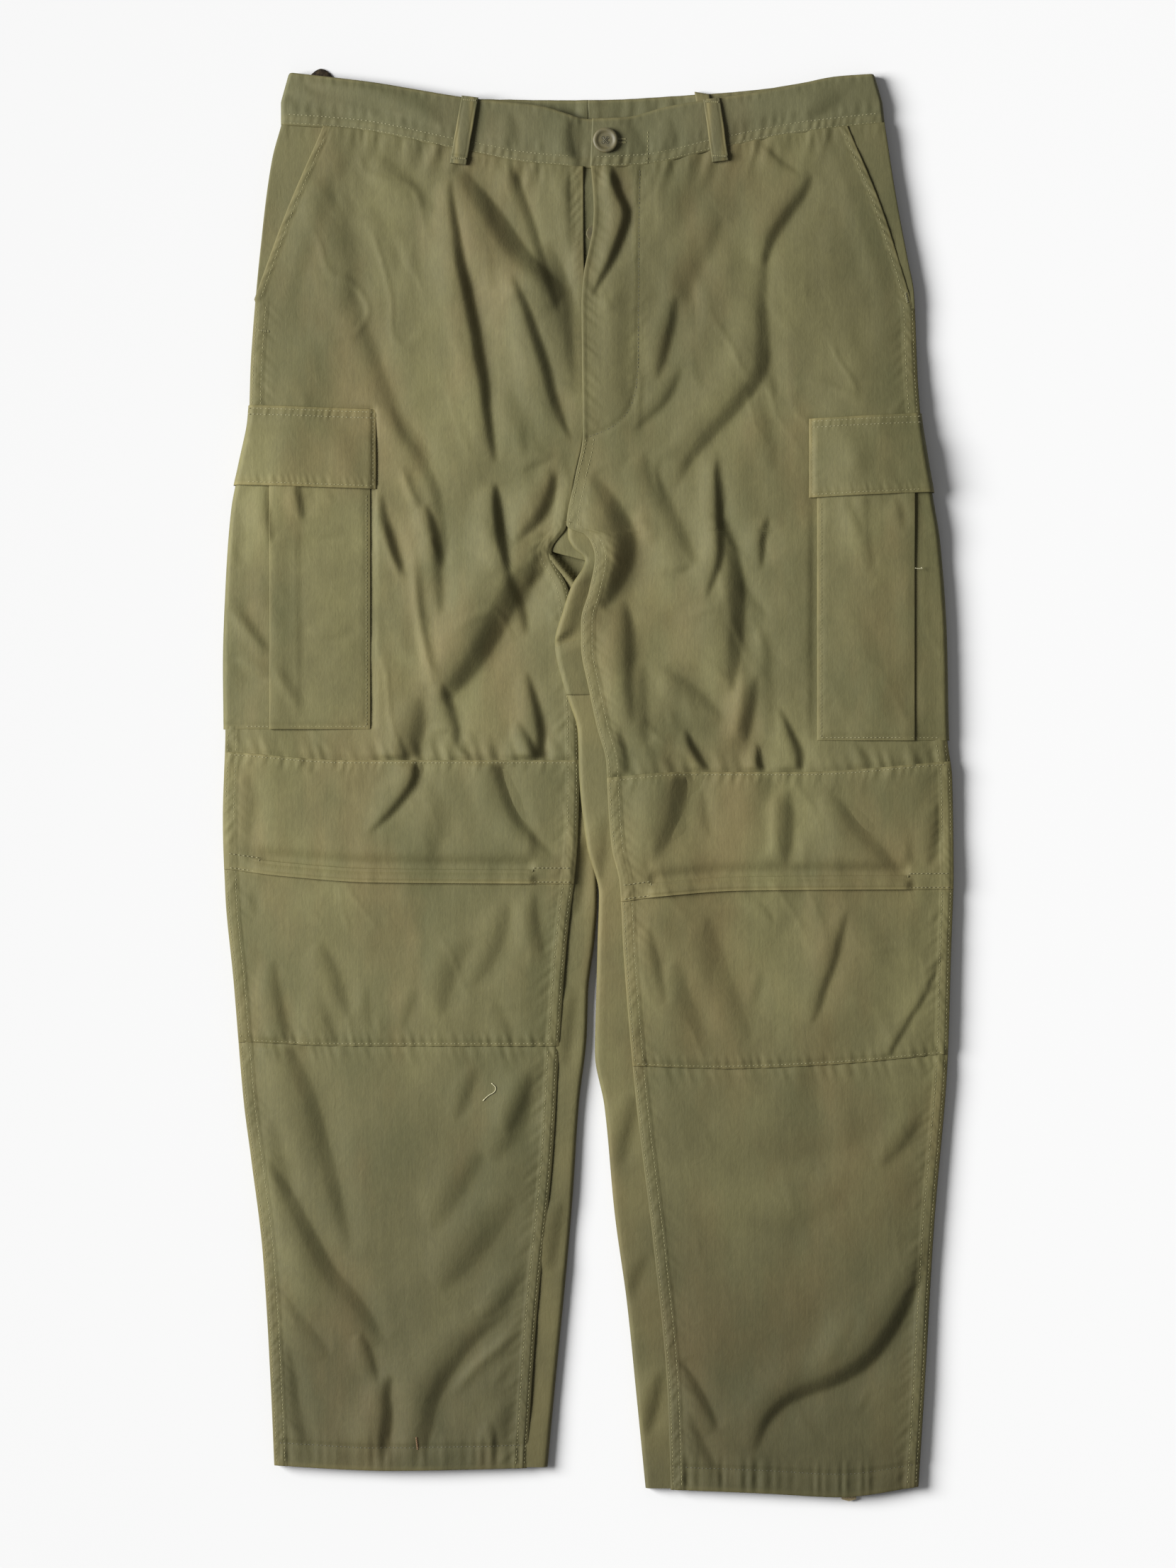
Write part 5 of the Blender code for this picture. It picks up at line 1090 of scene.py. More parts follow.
def fold_path(first, fold, depth, last, step):
    """A path from first to fold, back under itself by depth, then on to last: (place, layer height)."""
    way, r = np.sign(last - first), PLY / 2
    stop, back = fold - way * r, fold - way * depth
    path = [(p, 2 * PLY) for p in spread(first, stop, step)[:-1]]
    for middle, facing, low in ((stop, 1, 1.5 * PLY), (back, -1, 0.5 * PLY)):
        for k in range(FOLD_STEPS + 1):
            a = math.pi * k / FOLD_STEPS
            path.append((middle + facing * way * r * math.sin(a), low + r * math.cos(a)))
    return path + [(p, 0.0) for p in spread(back, last, step)[1:]]


def knee_patch(leg):
    """The second layer over the knee, from inseam to outseam, with a tuck folded across it."""
    out, u = OUTWARD[leg], with_edges(256.0, 1.8, 1.0)
    paths = []
    for share in u:
        mid = float(front_in[leg](KNEE_LEVEL) * (1 - share) + outseam[leg](KNEE_LEVEL) * share)
        top, tuck, end = (float(line[leg](mid)) for line in (patch_top, patch_tuck, patch_end))
        paths.append(fold_path(top, tuck, TUCK, end, 1.9))
    rows = min(len(path) for path in paths)
    columns = []
    for path in paths:  # every column gets the same number of places above the tuck and below it
        upper, lower = ([p for p, height in path if height == layer] for layer in (2 * PLY, 0.0))
        folded = path[len(upper):len(path) - len(lower)]
        lower_rows = rows - PATCH_UPPER_ROWS - len(folded)
        places = [np.linspace(upper[0], upper[-1], PATCH_UPPER_ROWS), [p for p, _ in folded],
                  np.linspace(lower[0], lower[-1], lower_rows)]
        heights = [np.full(PATCH_UPPER_ROWS, 2 * PLY), [h for _, h in folded], np.zeros(lower_rows)]
        columns.append((np.concatenate(places), np.concatenate(heights)))
    down, lift = (np.stack([column[i] for column in columns], axis=1) for i in range(2))
    x = front_in[leg](down) * (1 - u) + outseam[leg](down) * u
    before = patch_tuck[leg](x) - down
    near = 1 - ramp(before, TUCK + 3, TUCK + 40)
    upper = lift >= 2 * PLY - 1e-6
    rounding = (1.1 * bump(before, 4.5, 4.5) - 1.5 * (1 - ramp(before, -0.5, 2.6))) * upper
    (first, last), (early, late) = TUCK_ENDS[leg], TUCK_OPENS[leg]
    open_ = ramp(x, first - early, first + late) * (1 - ramp(x, last - 3, last + 4))
    dip = -3.7 * open_ * bump(before, 13.5, 6.5) * upper
    z = patch_surface(leg, x, down) + lift * near * (0.3 + 0.7 * open_) + rounding * open_ + dip
    grid = turned_rim(x, down, z)
    piece = cloth("knee_patch_cloth_" + leg, grid, SATEEN, ["knee_patch_" + leg])
    gx, gd = grid[..., 0], grid[..., 1]
    edge = np.minimum(out * (gx - front_in[leg](gd)), out * (outseam[leg](gd) - gx))
    ends = np.minimum(gd - patch_top[leg](gx), patch_end[leg](gx) - gd)
    amount = rubbed(edge) + 0.26 * bump(ends, 0.4, 1.4)
    amount += 0.4 * bump(patch_tuck[leg](gx) - gd, 1.0, 2.0)
    wear(piece, np.clip(amount * (0.7 + 0.5 * wander(gx, gd, 24.0, 71)), 0, 0.6))


def round_side(x_end, low, high, outward, bulge):
    """Places of a sheet that goes from the height high round the leg's side to the height low."""
    half = (high - low) / 2
    angles = [math.pi * k / SIDE_STEPS for k in range(1, SIDE_STEPS + 1)]
    return [(x_end + outward * bulge * math.sin(a), low + half * (1 + math.cos(a))) for a in angles]


def cargo_pouch(leg):
    """The pouch: over the front, round the side and a little way under the leg, with one knife pleat."""
    pocket, out, bulge = POCKET[leg], OUTWARD[leg], 4.2
    edge, pleat = pocket["edge"], pocket["pleat"]
    down = spread(pocket["mouth"] - 3.0, pocket["bottom"], 2.0)
    end = side[leg](down) + out * 1.4 - out * bulge
    path = fold_path(edge, pleat, PLEAT, pleat + out * 22.0, 2.2)
    last, start_low = path[-1][0], pleat - out * PLEAT
    columns = []
    for place, lift in path:
        share = np.clip((place - start_low) / (last - start_low), 0, 1) if lift == 0.0 else 0.0
        x = place + (end - last) * share
        rise = {"r": 0.6, "l": 0.45}[leg] * (ramp(out * (x - edge), 0, 45) if lift == 2 * PLY else 1.0)
        gape = 0.0
        if leg == "l" and lift >= PLY:  # the pleat's edge stands open near the flap
            gape = 0.9 * bump(down, 330.0, 32.0) * bump(out * (x - pleat), 0, 12.0)
        soft = 0.5 * bump(out * (x - pleat), -6.0, 7.0) * (lift >= PLY)
        columns.append((x, pouch_surface(leg, x, down) + lift * rise + gape + soft))
    flap_under, _ = under_pocket(leg, side[leg](down), down)
    columns += round_side(end, flap_under, columns[-1][1], out, bulge)
    columns.append((end - out * (LIP[leg] - bulge), flap_under))
    x, z = (np.stack([column[i] for column in columns], axis=1) for i in range(2))
    grid = turned_rim(x, np.broadcast_to(down[:, None], x.shape), z, CLOTH, 1.0)
    grid[..., 2] = np.maximum(grid[..., 2], 0.02)
    piece = cloth("cargo_pouch_cloth_" + leg, grid, SATEEN, ["cargo_pouch_" + leg])
    gx, gd = grid[..., 0], grid[..., 1]
    amount = 0.4 * bump(np.minimum(out * (gx - edge), pocket["bottom"] - gd), 0.5, 1.4)
    amount += 0.2 * bump(out * (gx - pleat), 0.0, 1.6)
    wear(piece, np.clip(amount * (0.7 + 0.5 * wander(gx, gd, 20.0, 73)), 0, 0.6))


def cargo_flap(leg):
    """The flap over the pouch's mouth: two layers, topstitched, round the side and under the leg."""
    pocket, out, bulge = POCKET[leg], OUTWARD[leg], 5.0
    d0 = spread(pocket["flap_top"], pocket["flap_end"], 1.6)
    end = side[leg](d0) + out * (0.8 + 1.8 * (d0 - d0[0]) / (d0[-1] - d0[0])) - out * bulge
    columns = []
    for u in np.linspace(0, 1, FLAP_COLUMNS):
        x = pocket["flap_edge"] + (end - pocket["flap_edge"]) * u
        d = d0 + FLAP_LEAN[leg] * (0.5 - u)
        columns.append((x, d, flap_surface(leg, x, d)))
    x_end, d_end, z_end = columns[-1]
    columns += [(x, d_end, z) for x, z in round_side(x_end, 0.0, z_end, out, bulge)]
    columns.append((x_end - out * (LIP[leg] - bulge), d_end, np.zeros_like(z_end)))
    grid = turned_rim(*(np.stack([column[i] for column in columns], axis=1) for i in range(3)), 1.6, 3.0)
    grid[..., 2] = np.maximum(grid[..., 2], 0.01)
    piece = cloth("cargo_flap_cloth_" + leg, grid, SATEEN, ["cargo_flap_" + leg])
    gx, gd = grid[..., 0], grid[..., 1]
    from_top, from_end, from_edge = flap_edges(leg, gx, gd)
    edge = np.minimum(np.minimum(from_top, from_end), from_edge)
    amount = 0.5 * bump(edge, 0.3, 1.5) + 0.12 * bump(edge, 4.0, 2.5)
    wear(piece, np.clip(amount * (0.75 + 0.5 * wander(gx, gd, 16.0, 77)), 0, 0.65))


def pocket_facing(leg):
    """The cloth that shows outside the slanted pocket edge, from the band to the outseam."""
    out = OUTWARD[leg]
    t, u = shares(*FACING_GRID)
    x, down = fitted(lambda d: (slant[leg](d) - out * 14.0) * (1 - u) + outseam[leg](d) * u,
                     lambda x: front_band_seam(x) - 1.0, lambda x: SLANT_FOOT + 5, t, 45.0 + 132.0 * t)
    z = REST + CLOTH - 0.2 + 0.4 * (1 - ramp(down, 50, 64)) + base(leg, x, down)
    z = z + 0.3 * wander(x, down, 22.0, SEEDS["facing"][leg]) + {"r": 0.0, "l": 1.1}[leg] * smooth(u)
    z = z + 0.3 * pucker(x, 37, 7.0) * bump(down - front_band_seam(x), 3.0, 6.0)
    piece = cloth("pocket_facing_cloth_" + leg, turned_rim(x, down, z), SATEEN, ["pocket_facing_" + leg])
    wear(piece, 0.0)


def waistband(leg):
    """Half of the waistband: from the centre front round the side to the centre back, folded double."""
    out, bulge = OUTWARD[leg], 3.0
    w = np.linspace(0, 1, BAND_ROWS_WIDE)
    first = 14.0 if leg == "r" else 1.5 + 1.5 * w
    end = np.interp(w, [0, 0.45, 1], {"r": (-232, -232, -226), "l": (224, 222, 216)}[leg]) - out * bulge
    columns = []
    for share in np.linspace(0, 1, BAND_FRONT_STEPS):
        x = first + (end - first) * share
        d = front_band_seam(x) * (1 - w) + front_band_top(x) * w
        z = band_surface(leg, x, d)
        if leg == "r":
            z = z - 2.2 * ramp(x, -14.0, -2.0)
        columns.append((x, d, z))
    x_end, d_end, z_end = columns[-1]
    columns += [(x, d_end, z) for x, z in round_side(x_end, 0.0, z_end, out, bulge)]
    for share in np.linspace(0, 1, BAND_BACK_STEPS)[1:]:
        x = end + (-0.5 * out - end) * share
        d = back_band_seam(x) * (1 - w) + back_band_top(x) * w
        over = sum(1 - ramp(np.abs(x - place[0]), 5.0, 11.0) for place in BACK_LOOPS.values())
        folds = 0.9 * (pucker(x + 0.2 * d, 93, 15.0) + 1.0) * ramp(d - back_band_top(x), -1, 9)
        columns.append((x, d, 1.3 * over + folds * (1 - ramp(np.abs(x), 150, 190))))
    outer = np.stack([np.stack(c, axis=-1) for c in columns], axis=1)
    # the inside: the same band one thickness in, measured across its own surface
    normal = np.cross(np.gradient(outer, axis=1), np.gradient(outer, axis=0))
    normal /= np.maximum(np.linalg.norm(normal, axis=-1, keepdims=True), 1e-9)
    if normal[14, 20, 2] < 0:  # a place on the front half, where outward is up
        normal = -normal
    inner_face = outer - normal * BAND
    from_back_top = outer[..., 1] - back_band_top(outer[..., 0])
    inner_face[..., 2] += 0.35 * pucker(outer[..., 0], 95, 7.5) * bump(from_back_top, 3, 5)
    rim = 0.45
    for row in (0, -1):  # round the folded edges a little
        outer[row] = outer[row] * (1 - rim / 2) + inner_face[row] * rim / 2
        inner_face[row] = inner_face[row] * (1 - rim / 2) + outer[row] * rim / 2
    piece = cloth("waistband_cloth_" + leg, outer, SATEEN_BAND, ["waistband_" + leg], closed_with=inner_face)
    gx, gd = outer[..., 0], outer[..., 1]
    from_seam, from_top = front_band_seam(gx) - gd, gd - front_band_top(gx)
    amount = 0.35 * bump(from_top, 0.3, 1.4) + 0.3 * bump(from_seam, 0.4, 1.4)
    amount += 0.14 * bump(from_seam, 5.4, 2.5)
    amount = np.clip(amount * (0.75 + 0.5 * wander(gx, gd, 16.0, 79)), 0, 0.5)
    inside = np.clip(0.25 * bump(gd - back_band_top(gx), 0.5, 1.6), 0, 0.5)
    wear(piece, np.concatenate([amount.ravel(), inside.ravel()]))


def loop_place(leg, t, across):
    """A place on a front belt loop: t from 0 at its top to 1 at its foot, across in mm from its middle."""
    (x0, d0), (x1, d1) = LOOPS[leg]
    x = x0 + (x1 - x0) * t + across
    d = d0 + (d1 - d0) * t - 0.12 * across * np.sign(x1 - x0)
    stand = 2.0 * np.sin(np.clip((t - 0.05) / 0.85, 0, 1) * math.pi) ** 0.7
    foot = 1.3 * ramp(t, 0.86, 0.90)
    crown = 0.5 * (1 - (across / (LOOP_WIDE / 2)) ** 2)
    rows = 0.25 * (bump(across, 4.3, 0.6) + bump(across, -4.3, 0.6))
    return x, d, REST + BAND + 1.9 + stand + foot + crown - rows - 1.2 * ramp(t, 0.93, 1.0)


def front_loop(leg):
    """A belt loop: a folded strip that stands off the band and is turned under at both ends."""
    rows, columns = LOOP_GRID
    t, across = np.linspace(0, 1, rows)[:, None], np.linspace(-0.5, 0.5, columns)[None, :] * LOOP_WIDE
    x, d, z = loop_place(leg, t, across)
    x = x + 0.25 * wander(d, 0 * d, 9.0, 55)
    rim = turned_rim(*np.broadcast_arrays(x, d, z), 1.3)
    piece = cloth("belt_loop_cloth_front_" + leg, rim, SATEEN_BAND, ["belt_loop_front_" + leg])
    from_middle = rim[..., 0] - x.mean()
    off = np.minimum(np.abs(from_middle - LOOP_WIDE / 2), np.abs(from_middle + LOOP_WIDE / 2))
    wear(piece, np.clip(0.45 * bump(off, 0.0, 1.8), 0, 0.5))


def fly_underlap():
    """The fly's underlap, glimpsed between the two fronts, with its edge rolled."""
    t, u = shares(*UNDERLAP_GRID)
    down = 72.0 + (271.0 - 72.0) * t
    x = (-16 + 3 * t) * (1 - u) + (13 - 3 * t) * u
    z = REST - 0.4 + 0.25 * wander(x, down, 12.0, 44) - 0.6 * bump(x, 0.5, 5.5) - 4.5 * (1 - ramp(x, -13, -5))
    piece = cloth("fly_underlap_cloth", turned_rim(x, down, z), SATEEN_INSIDE, ["fly_underlap"])
    wear(piece, 0.0)


def crotch_fold():
    """The right back's cloth at the crotch: it comes forward from the seam and turns under in a fold."""
    t, u = shares(*CROTCH_GRID)
    left_x, left_d = -17.5 - 10.8 * t, 342.5 + 18.2 * t
    right_x, right_d = -14.5 + 14.5 * t, 343.5 + 25.0 * t
    x, down = left_x * (1 - u) + right_x * u, left_d * (1 - u) + right_d * u
    z = REST - 0.9 - 0.2 * t + 1.0 * u * t + 0.4 * wander(x, down, 8.0, 48)
    piece = cloth("crotch_fold", turned_rim(x, down, z, 2.5, 4.0), SATEEN)
    wear(piece, 0.0)


def back_loop(number):
    """A belt loop at the back, towards the floor; the left one's end leans over the band's top."""
    x0, d0, x1, d1 = BACK_LOOPS[number]
    # along the loop: the share of its length, how far over the band's top, and the height
    path = [(0.0, 0.0, 2.05), (0.5, 0.0, 2.05), (1.0, 0.0, 2.05)]
    if number == "l":
        path += [(1.0, 1.3, 2.6), (1.0, 1.2, 3.8), (1.0, -0.6, 4.9), (1.0, -4.0, 5.1), (1.0, -8.0, 4.9)]
    (t, over, z), across = (p[:, None] for p in np.array(path).T), np.linspace(-5.0, 5.0, 9)[None, :]
    x, d = x0 + (x1 - x0) * t + across - 0.16 * over, d0 + (d1 - d0) * t - over + 0.16 * across
    rim = turned_rim(*np.broadcast_arrays(x, d, z), CLOTH, 0.6)
    piece = cloth("belt_loop_cloth_back_" + number, rim, SATEEN_BAND, ["belt_loop_back_" + number])
    wear(piece, 0.3)


def slide_buckle():
    """The slide of the side's take-up tab, a small rounded square plate lying on its corner."""
    turns, power = 64, 1.6
    angles = np.linspace(0, 2 * np.pi, turns, endpoint=False)
    cos, sin = np.cos(angles), np.sin(angles)
    reach = 10.2 / (np.abs(cos) ** power + np.abs(sin) ** power) ** (1 / power)
    middle = (buckle_lo + buckle_hi)[:2] / 2
    profile = ((0.02, 1.4), (0.9, 1.4), (0.98, 1.2), (1.0, 0.8), (1.0, 0.3), (0.95, 0.0))
    points = np.concatenate([
        np.stack([middle[0] + share * reach * cos, middle[1] + share * reach * sin, np.full(turns, z)], -1)
        for share, z in profile])
    faces = np.roll(ring_faces(len(profile), turns)[:, ::-1], 1, axis=1)
    make_mesh("slide_buckle_plate", points * MM, faces, BRASS, ["tab_buckle"], sharp=50)


def seat_patch():
    """The end of the seat's second layer where it comes round the left leg's inner edge."""
    t, u = shares(*SEAT_GRID)
    down = 398.0 + 71.0 * t
    x = (inner["l"](down) + 0.2) * (1 - u) + (front_in["l"](down) + 1.2) * u
    z = base("l", x, down) + 2 * TURN + 2 * CLOTH + 0.5 + 0.4 * wander(x, down, 17.0, 47)
    z -= 1.2 * u ** 2 + 1.4 * (1 - ramp(u, 0.0, 0.12)) + 3.4 * (1 - ramp(down - roll_foot(x), -3.0, 14.0))
    piece = cloth("seat_patch_cloth", turned_rim(x, down, z, CLOTH, 0.8), SATEEN, ["seat_patch_l"])
    wear(piece, 0.0)


# ---------------------------------------------------------------- sewing
STITCH_WIDE, STITCH_LIFT = 0.55, 0.12
LINE_STEP = 4.0
stitches = []  # (ends, other ends, width, finish) in mm; how many there are so far seeds the next row


def sew(points, height, finish=THREAD):
    """Puts a row of stitches along a line of (x, down), on the surface that height(x, down) gives."""
    p = np.array(points, dtype=float)
    lengths = np.hypot(*np.diff(p, axis=0).T)
    run = np.concatenate([[0.0], np.cumsum(lengths)])
    count = max(1, int(run[-1] / PITCH))
    uneven = np.random.default_rng(len(stitches)).uniform(-0.12, 0.12, count)
    middle = (np.arange(count) + 0.5 + uneven) * run[-1] / count
    ends = []
    for shift in (-0.36 * PITCH, 0.36 * PITCH):
        s = np.clip(middle + shift, 0, run[-1])
        x, d = np.interp(s, run, p[:, 0]), np.interp(s, run, p[:, 1])
        ends.append(np.stack([x, d, height(x, d) + STITCH_LIFT], axis=-1))
    stitches.append((*ends, STITCH_WIDE, finish))


def along_down(line, start, end, offset=0.0):
    """Points down a line x = line(down), moved sideways by offset."""
    d = spread(start, end, LINE_STEP)
    return np.stack([line(d) + offset, d], axis=-1)


def along_x(line, start, end, offset=0.0):
    """Points along a line down = line(x), moved down by offset."""
    x = spread(start, end, LINE_STEP)
    return np.stack([x, line(x) + offset], axis=-1)


def bartack(centre, direction, height, finish=THREAD, long=9.0, wide=2.2):
    """A dense zigzag of thread that holds a corner."""
    c, u = np.array(centre, dtype=float), np.array(direction, dtype=float)
    u /= np.linalg.norm(u)
    v = np.array([-u[1], u[0]])
    count = int(long / 0.75)
    a, b = [], []
    for k in range(count):
        s = (k / (count - 1) - 0.5) * long
        for store, way in ((a, -0.5), (b, 0.5)):
            p = c + u * (s + 0.3 * way) + v * way * wide
            store.append((p[0], p[1], float(height(np.array(p[0]), np.array(p[1]))) + 0.35))
    stitches.append((np.array(a), np.array(b), 0.6, finish))


def thread_meshes():
    """Every stitch as a short thread: a four-sided spindle that dips into the cloth at both ends."""
    spindle = ((0.0, 0.35, 0.35), (0.22, 1.0, 0.0), (0.78, 1.0, 0.0), (1.0, 0.35, 0.35))  # share, width, drop
    faces = np.concatenate([ring_faces(len(spindle), 4), [(3, 2, 1, 0), (12, 13, 14, 15)]])
    by_finish = {}
    for a, b, width, finish in stitches:
        by_finish.setdefault(finish.name, (finish, []))[1].append((a, b, width))
    for name, (finish, groups) in by_finish.items():
        a, b = (np.concatenate([g[i] for g in groups]) for i in range(2))
        wide = np.concatenate([np.full(len(g[0]), g[2]) for g in groups])[:, None] / 2
        u = (b - a) / np.linalg.norm(b - a, axis=1, keepdims=True)
        across = np.cross(u, UP)
        across /= np.linalg.norm(across, axis=1, keepdims=True)
        rings = []
        for share, scale, drop in spindle:
            centre = a * (1 - share) + b * share - UP * drop
            ring = [centre + across * wide * scale, centre + UP * wide * scale * 0.9,
                    centre - across * wide * scale, centre - UP * wide * scale * 0.9]
            rings.append(np.stack(ring, axis=1))
        points = np.stack(rings, axis=1).reshape(-1, 3)
        first_points = 4 * len(spindle) * np.arange(len(a))
        all_faces = (faces[None] + first_points[:, None, None]).reshape(-1, 4)
        make_mesh("stitching_" + name, to_world(points), all_faces, finish)


def sew_leg(leg):
    """The rows of one leg: its seams, band, slanted pocket edge, knee patch, hem and cargo pocket."""
    out, pocket = OUTWARD[leg], POCKET[leg]
    on_front, on_patch, on_flap, on_band = (
        partial(surface, leg) for surface in (front_top, patch_surface, flap_surface, band_surface))

    def on_tuck(x, d):
        return patch_surface(leg, x, d) + 0.9 * PLY

    def on_pouch(x, d):
        lift = 1.4 * ramp(out * (x - pocket["edge"]), 0, 45)
        return pouch_surface(leg, x, d) + np.where(out * (x - pocket["pleat"]) > 0, 0.0, lift)

    knee_out = patch_top[leg](out * 260), patch_end[leg](out * 260)
    knee_in = patch_top[leg](out * 10), patch_end[leg](out * 20)
    outer_rows = ((SLANT_FOOT + 3, pocket["flap_top"] - 2, on_front),
                  (pocket["bottom"] + 3, knee_out[0] - 1, on_front),
                  (knee_out[0] + 3, knee_out[1] - 3, on_patch),
                  (knee_out[1] + 3, HEM_LEAST[leg], on_front))
    inner_rows = (({"r": 366, "l": 352}[leg], knee_in[0] - 1, on_front),
                  (knee_in[0] + 2, knee_in[1] - 3, on_patch),
                  (knee_in[1] + 3, HEM_LEAST[leg] + 2, on_front))
    for off in (ROW_IN, ROW_OUT):
        for line, way, rows in ((outseam[leg], -out, outer_rows), (front_in[leg], out, inner_rows)):
            for start, end, surface in rows:
                sew(along_down(line, start, end, way * off), surface)
    for off in BAND_ROWS:
        sew(along_x(front_band_seam, *{"r": (-14, -226), "l": (6, 218)}[leg], -off), on_band)
    sew(along_down(slant[leg], {"r": 50, "l": 46}[leg], SLANT_FOOT - 3, -out * 4.4), on_front)
    top, middle, foot = (
        (front_in[leg](d) + out * 3, outseam[leg](d) - out * 3) for d in (520.0, 606.0, 745.0))
    sew(along_x(patch_top[leg], *top, 1.6), on_patch)
    sew(along_x(patch_end[leg], *foot, -1.6), on_patch)
    for end, edge in zip(TUCK_ENDS[leg][::int(out)], middle):
        closed = float(patch_tuck[leg](end))
        sew([(end, closed - 12.0), (end, closed - 1.0)], on_tuck)
        sew([(end, closed - 1.5), (edge, float(patch_tuck[leg](edge)) - 1.5)], on_tuck)
        sew([(end, closed - 12.0), (edge, float(patch_tuck[leg](edge)) - 12.0)], on_tuck)
    sew(along_x(hem_edge[leg], *{"r": (-48, -233), "l": (64, 245)}[leg], -HEM_DEEP), on_front, THREAD_PAINTED_SHADE)
    # the cargo pocket: the flap's rows and the pouch's edges
    flap_edge, flap_side = pocket["flap_edge"], side[leg](FLAP_LEVEL)
    xs = spread(flap_edge + out * 2, flap_side - out * 3, LINE_STEP)
    lean = FLAP_LEAN[leg] * (0.5 - (xs - flap_edge) / (flap_side - flap_edge))
    for level in (*(pocket["flap_top"] + lean + off for off in FLAP_ROWS), pocket["flap_end"] + lean - 2.0):
        sew(np.stack([xs, level], -1), on_flap)
    edge_x = flap_edge + out * 2.0
    sew([(edge_x, pocket["flap_top"] + 3), (edge_x, pocket["flap_end"])], on_flap)
    edge_x, bottom = pocket["edge"] + out * 2.6, pocket["bottom"]
    sew([(edge_x, pocket["flap_end"] + 6), (edge_x, bottom - 2)], on_pouch)
    sew([(edge_x, bottom - 1.8), (pocket["pleat"] + out * 18, bottom - 1.8)], on_pouch)


def sew_everything():
    """All rows and bartacks: one leg after the other, then the fly, the pockets and the belt loops."""
    for leg in LEGS:
        sew_leg(leg)
    on_right, on_left = (partial(front_top, leg) for leg in LEGS)
    sew(rounded(FLY_J), on_left, THREAD_PAINTED_SHADE)
    sew([(45.0, 44.0), (44.5, 70.0)], partial(band_surface, "l"))
    for off in (2.0, 8.0):
        sew(along_down(front_in["l"], 276, 342, off), on_left)
    bartack((-244.5, 195), (1, 0.1), on_right, long=7.5)
    bartack((240.0, 170), (0.2, 1), on_left, long=7.0)
    bartack((-129.0, 1033.5), (0.1, 1), on_right, RUST_THREAD, wide=1.6)
    for leg in LEGS:
        for t, long in ((0.05, 9.0), (0.93, 9.5)):
            x, d, z = loop_place(leg, t, 0.0)
            bartack((float(x), float(d)), (1, 0.05), lambda a, b, z=z: z, long=long, wide=1.5)


# ---------------------------------------------------------------- trims


def lathe(name, profile, centre, z0, turns, finish, nodes=()):
    """A round plastic piece: profile is (radius, height above z0) in mm, from the axis out and back."""
    angles = np.linspace(0, 2 * np.pi, turns, endpoint=False)
    points = [np.stack([centre[0] + radius * np.cos(angles), centre[1] - radius * np.sin(angles),
                        np.full(turns, z0 + height)], -1) for radius, height in profile]
    faces = ring_faces(len(profile), turns)
    make_mesh(name, to_world(np.concatenate(points)), faces, finish, nodes, sharp=50)


def waist_button():
    """A sew-through button: a flat rim, a dished middle, four holes and crossed thread."""
    x0, d0 = BUTTON_AT
    z0 = REST + FLY_RISE + BAND + 1.4
    profile = [(0.01, 0.0), (8.6, 0.0), (9.3, 0.5), (9.55, 1.3), (9.4, 2.2), (8.8, 2.75), (7.9, 2.9),
               (6.9, 2.75), (6.2, 2.3), (5.6, 2.0), (4.6, 1.9), (0.01, 1.9)]
    lathe("waist_button_disc", profile, BUTTON_AT, z0, 64, BUTTON, ["waist_button"])
    # The holes are shallow cups in a dark finish: painted shade where they go through the button.
    hole = [(1.35, 1.88), (1.2, 2.02), (0.95, 1.98), (0.85, 1.7), (0.8, 1.2), (0.01, 1.2)]
    for k in range(4):
        a = math.pi / 4 + k * math.pi / 2
        lathe(f"button_hole_{k}", hole, (x0 + 2.4 * math.cos(a), d0 - 2.4 * math.sin(a)), z0, 16, HOLE_PAINTED_SHADE)
    for way in (-1, 1):
        for shift in (-0.35, 0.35):
            a = np.array([[x0 - 2.1 + shift, d0 - way * 2.1 + shift, z0 + 2.05]])
            b = np.array([[x0 + 2.1 + shift, d0 + way * 2.1 + shift, z0 + 2.1]])
            stitches.append((a, b, 0.75, THREAD_PAINTED_SHADE))


def fly_button():
    """The next button of the fly, almost hidden: its rim shows at the fly's edge."""
    profile = [(0.01, 0.0), (5.6, 0.0), (6.1, 0.6), (6.1, 1.3), (5.6, 1.8), (4.4, 1.6), (0.01, 1.3)]
    lathe("fly_button_disc", profile, FLY_BUTTON_AT, REST + 0.4, 40, BUTTON, ["fly_button"])


def buttonhole():
    """A worked buttonhole in the band, beside the button: two bars of close thread."""
    xs = np.arange(22.5, 28.5, 0.55)
    for off in (-1.3, 1.3):
        level = np.full_like(xs, BUTTON_AT[1] + off)
        z = band_surface("l", xs, level) + 0.2
        a, b = np.stack([xs, level - 0.9, z], -1), np.stack([xs + 0.1, level + 0.9, z], -1)
        stitches.append((a, b, STITCH_WIDE, THREAD))


def chain(points, width):
    """One thread through all the points, as lint."""
    stitches.append((points[:-1], points[1:], width, LINT))


def lint():
    """A curl of pale lint on the right shin."""
    curl = rounded([(-79.5, 775.5), (-75, 771), (-70.5, 769), (-69.2, 765), (-73, 762)])
    chain(np.column_stack([curl, front_top("r", curl[:, 0], curl[:, 1]) + 0.6]), 0.7)


def loose_thread():
    """A thread end that stands out of the left pouch's pleat."""
    t = np.linspace(0, 1, 14)
    x, d = 246.0 + 5.5 * np.sin(2.2 * t), 374.0 + 2.5 * t - 3.0 * t * t
    chain(np.stack([x, d, pouch_surface("l", x, d) + 2.4 + 1.5 * np.sin(3.0 * t)], -1), 0.5)


def keep_node(name, finish):
    """A solid whose own shape is right keeps it and takes its real finish."""
    bpy.data.objects[name].data.materials.clear()
    bpy.data.objects[name].data.materials.append(finish)


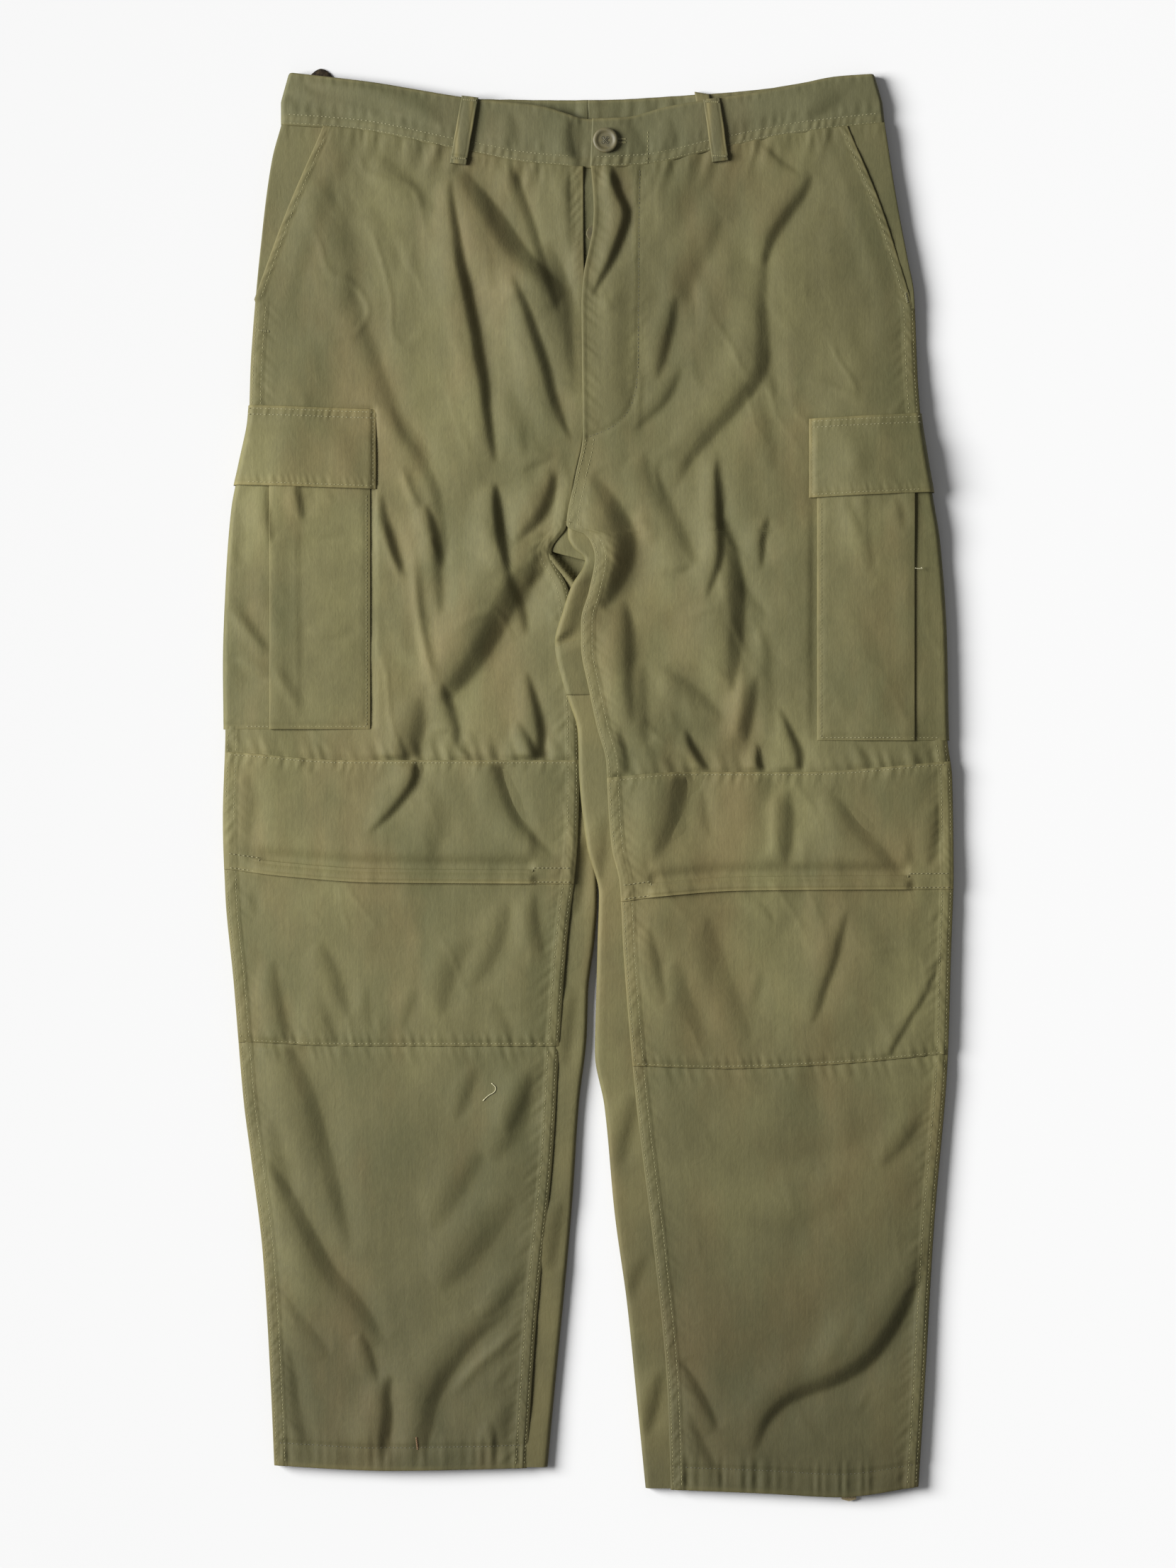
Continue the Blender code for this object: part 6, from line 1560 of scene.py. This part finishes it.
# ---------------------------------------------------------------- set: floor, light, camera
SEEN_LONG = 1183.42 * MM  # how much of the floor the camera sees from top to bottom
KEY_AT = (-2.9, 0.56, 1.95)  # the big softbox at the upper left
KEY_POWER, KEY_WIDE, FILL = 370.0, 2.1, 0.24
FLOOR_HALF, FLOOR_DROP = 4.0, 0.0004
# The paper's tone by its distance from the softbox, m.
PAPER_TONES = [(1.95, 0.108), (2.2, 0.152), (2.4, 0.194), (2.6, 0.245), (2.8, 0.297), (3.0, 0.357),
               (3.2, 0.423), (3.4, 0.493), (3.54, 0.545), (3.7, 0.607), (3.9, 0.686), (4.1, 0.769),
               (4.4, 0.896), (4.7, 1.0)]


def floor():
    """A seamless paper floor, toned darker towards the softbox so that it comes out evenly pale."""
    finish, tree, shader, coords = new_finish("studio_paper", roughness=0.9, specular_ior_level=0.0)
    away = add(tree, "ShaderNodeVectorMath", [(0, coords)], operation="DISTANCE")
    away.inputs[1].default_value = KEY_AT
    near, far = PAPER_TONES[0][0], PAPER_TONES[-1][0]
    share = add(tree, "ShaderNodeMapRange", [("Value", away.outputs["Value"])], from_min=near, from_max=far)
    tint(tree, shader, share.outputs["Result"], [((d - near) / (far - near), t) for d, t in PAPER_TONES])
    mesh = bpy.data.meshes.new("studio_floor")
    corners = ((-1, -1), (1, -1), (1, 1), (-1, 1))
    mesh.from_pydata([(x * FLOOR_HALF, y * FLOOR_HALF, -FLOOR_DROP) for x, y in corners], [], [(0, 1, 2, 3)])
    mesh.materials.append(finish)
    plane = bpy.data.objects.new("studio_floor", mesh)
    bpy.context.scene.collection.objects.link(plane)


def softbox(name, place, energy, wide):
    """A round white light of this width, turned to the middle of the floor."""
    data = bpy.data.lights.new(name, "AREA")
    data.energy = energy
    data.shape = "DISK"
    data.size = wide
    lamp = bpy.data.objects.new(name, data)
    bpy.context.scene.collection.objects.link(lamp)
    lamp.location = place
    lamp.rotation_euler = Vector([-c for c in place]).to_track_quat("-Z", "Y").to_euler()


def studio():
    """One big soft light, a little light from all round, and the camera straight above."""
    scene = bpy.context.scene
    scene.world = bpy.data.worlds.new("studio")
    scene.world.use_nodes = True
    background = scene.world.node_tree.nodes["Background"]
    background.inputs["Color"].default_value = (1.0, 1.0, 1.0, 1.0)
    background.inputs["Strength"].default_value = FILL
    softbox("softbox", KEY_AT, KEY_POWER, KEY_WIDE)
    data = bpy.data.cameras.new("camera")
    data.lens = 90.0
    data.sensor_width = 36.0
    data.clip_end = 20.0
    camera = bpy.data.objects.new("camera", data)
    scene.collection.objects.link(camera)
    scene.camera = camera
    camera.location = (0.0, 0.0004, SEEN_LONG * data.lens / data.sensor_width + 0.006)
    scene.view_settings.view_transform = "Standard"
    scene.view_settings.look = "None"


# ---------------------------------------------------------------- make everything
studio()
floor()
for leg in LEGS:
    for make in (back_panel, front_panel, knee_patch, cargo_pouch, cargo_flap, pocket_facing, waistband,
                 front_loop):
        make(leg)
fly_underlap()
seat_patch()
waist_button()
fly_button()
buttonhole()
lint()
loose_thread()
sew_everything()
thread_meshes()
for number in BACK_LOOPS:
    back_loop(number)
crotch_fold()
slide_buckle()
keep_node("waist_tab", SATEEN_BAND)
keep_node("hem_tape_l", TAPE)
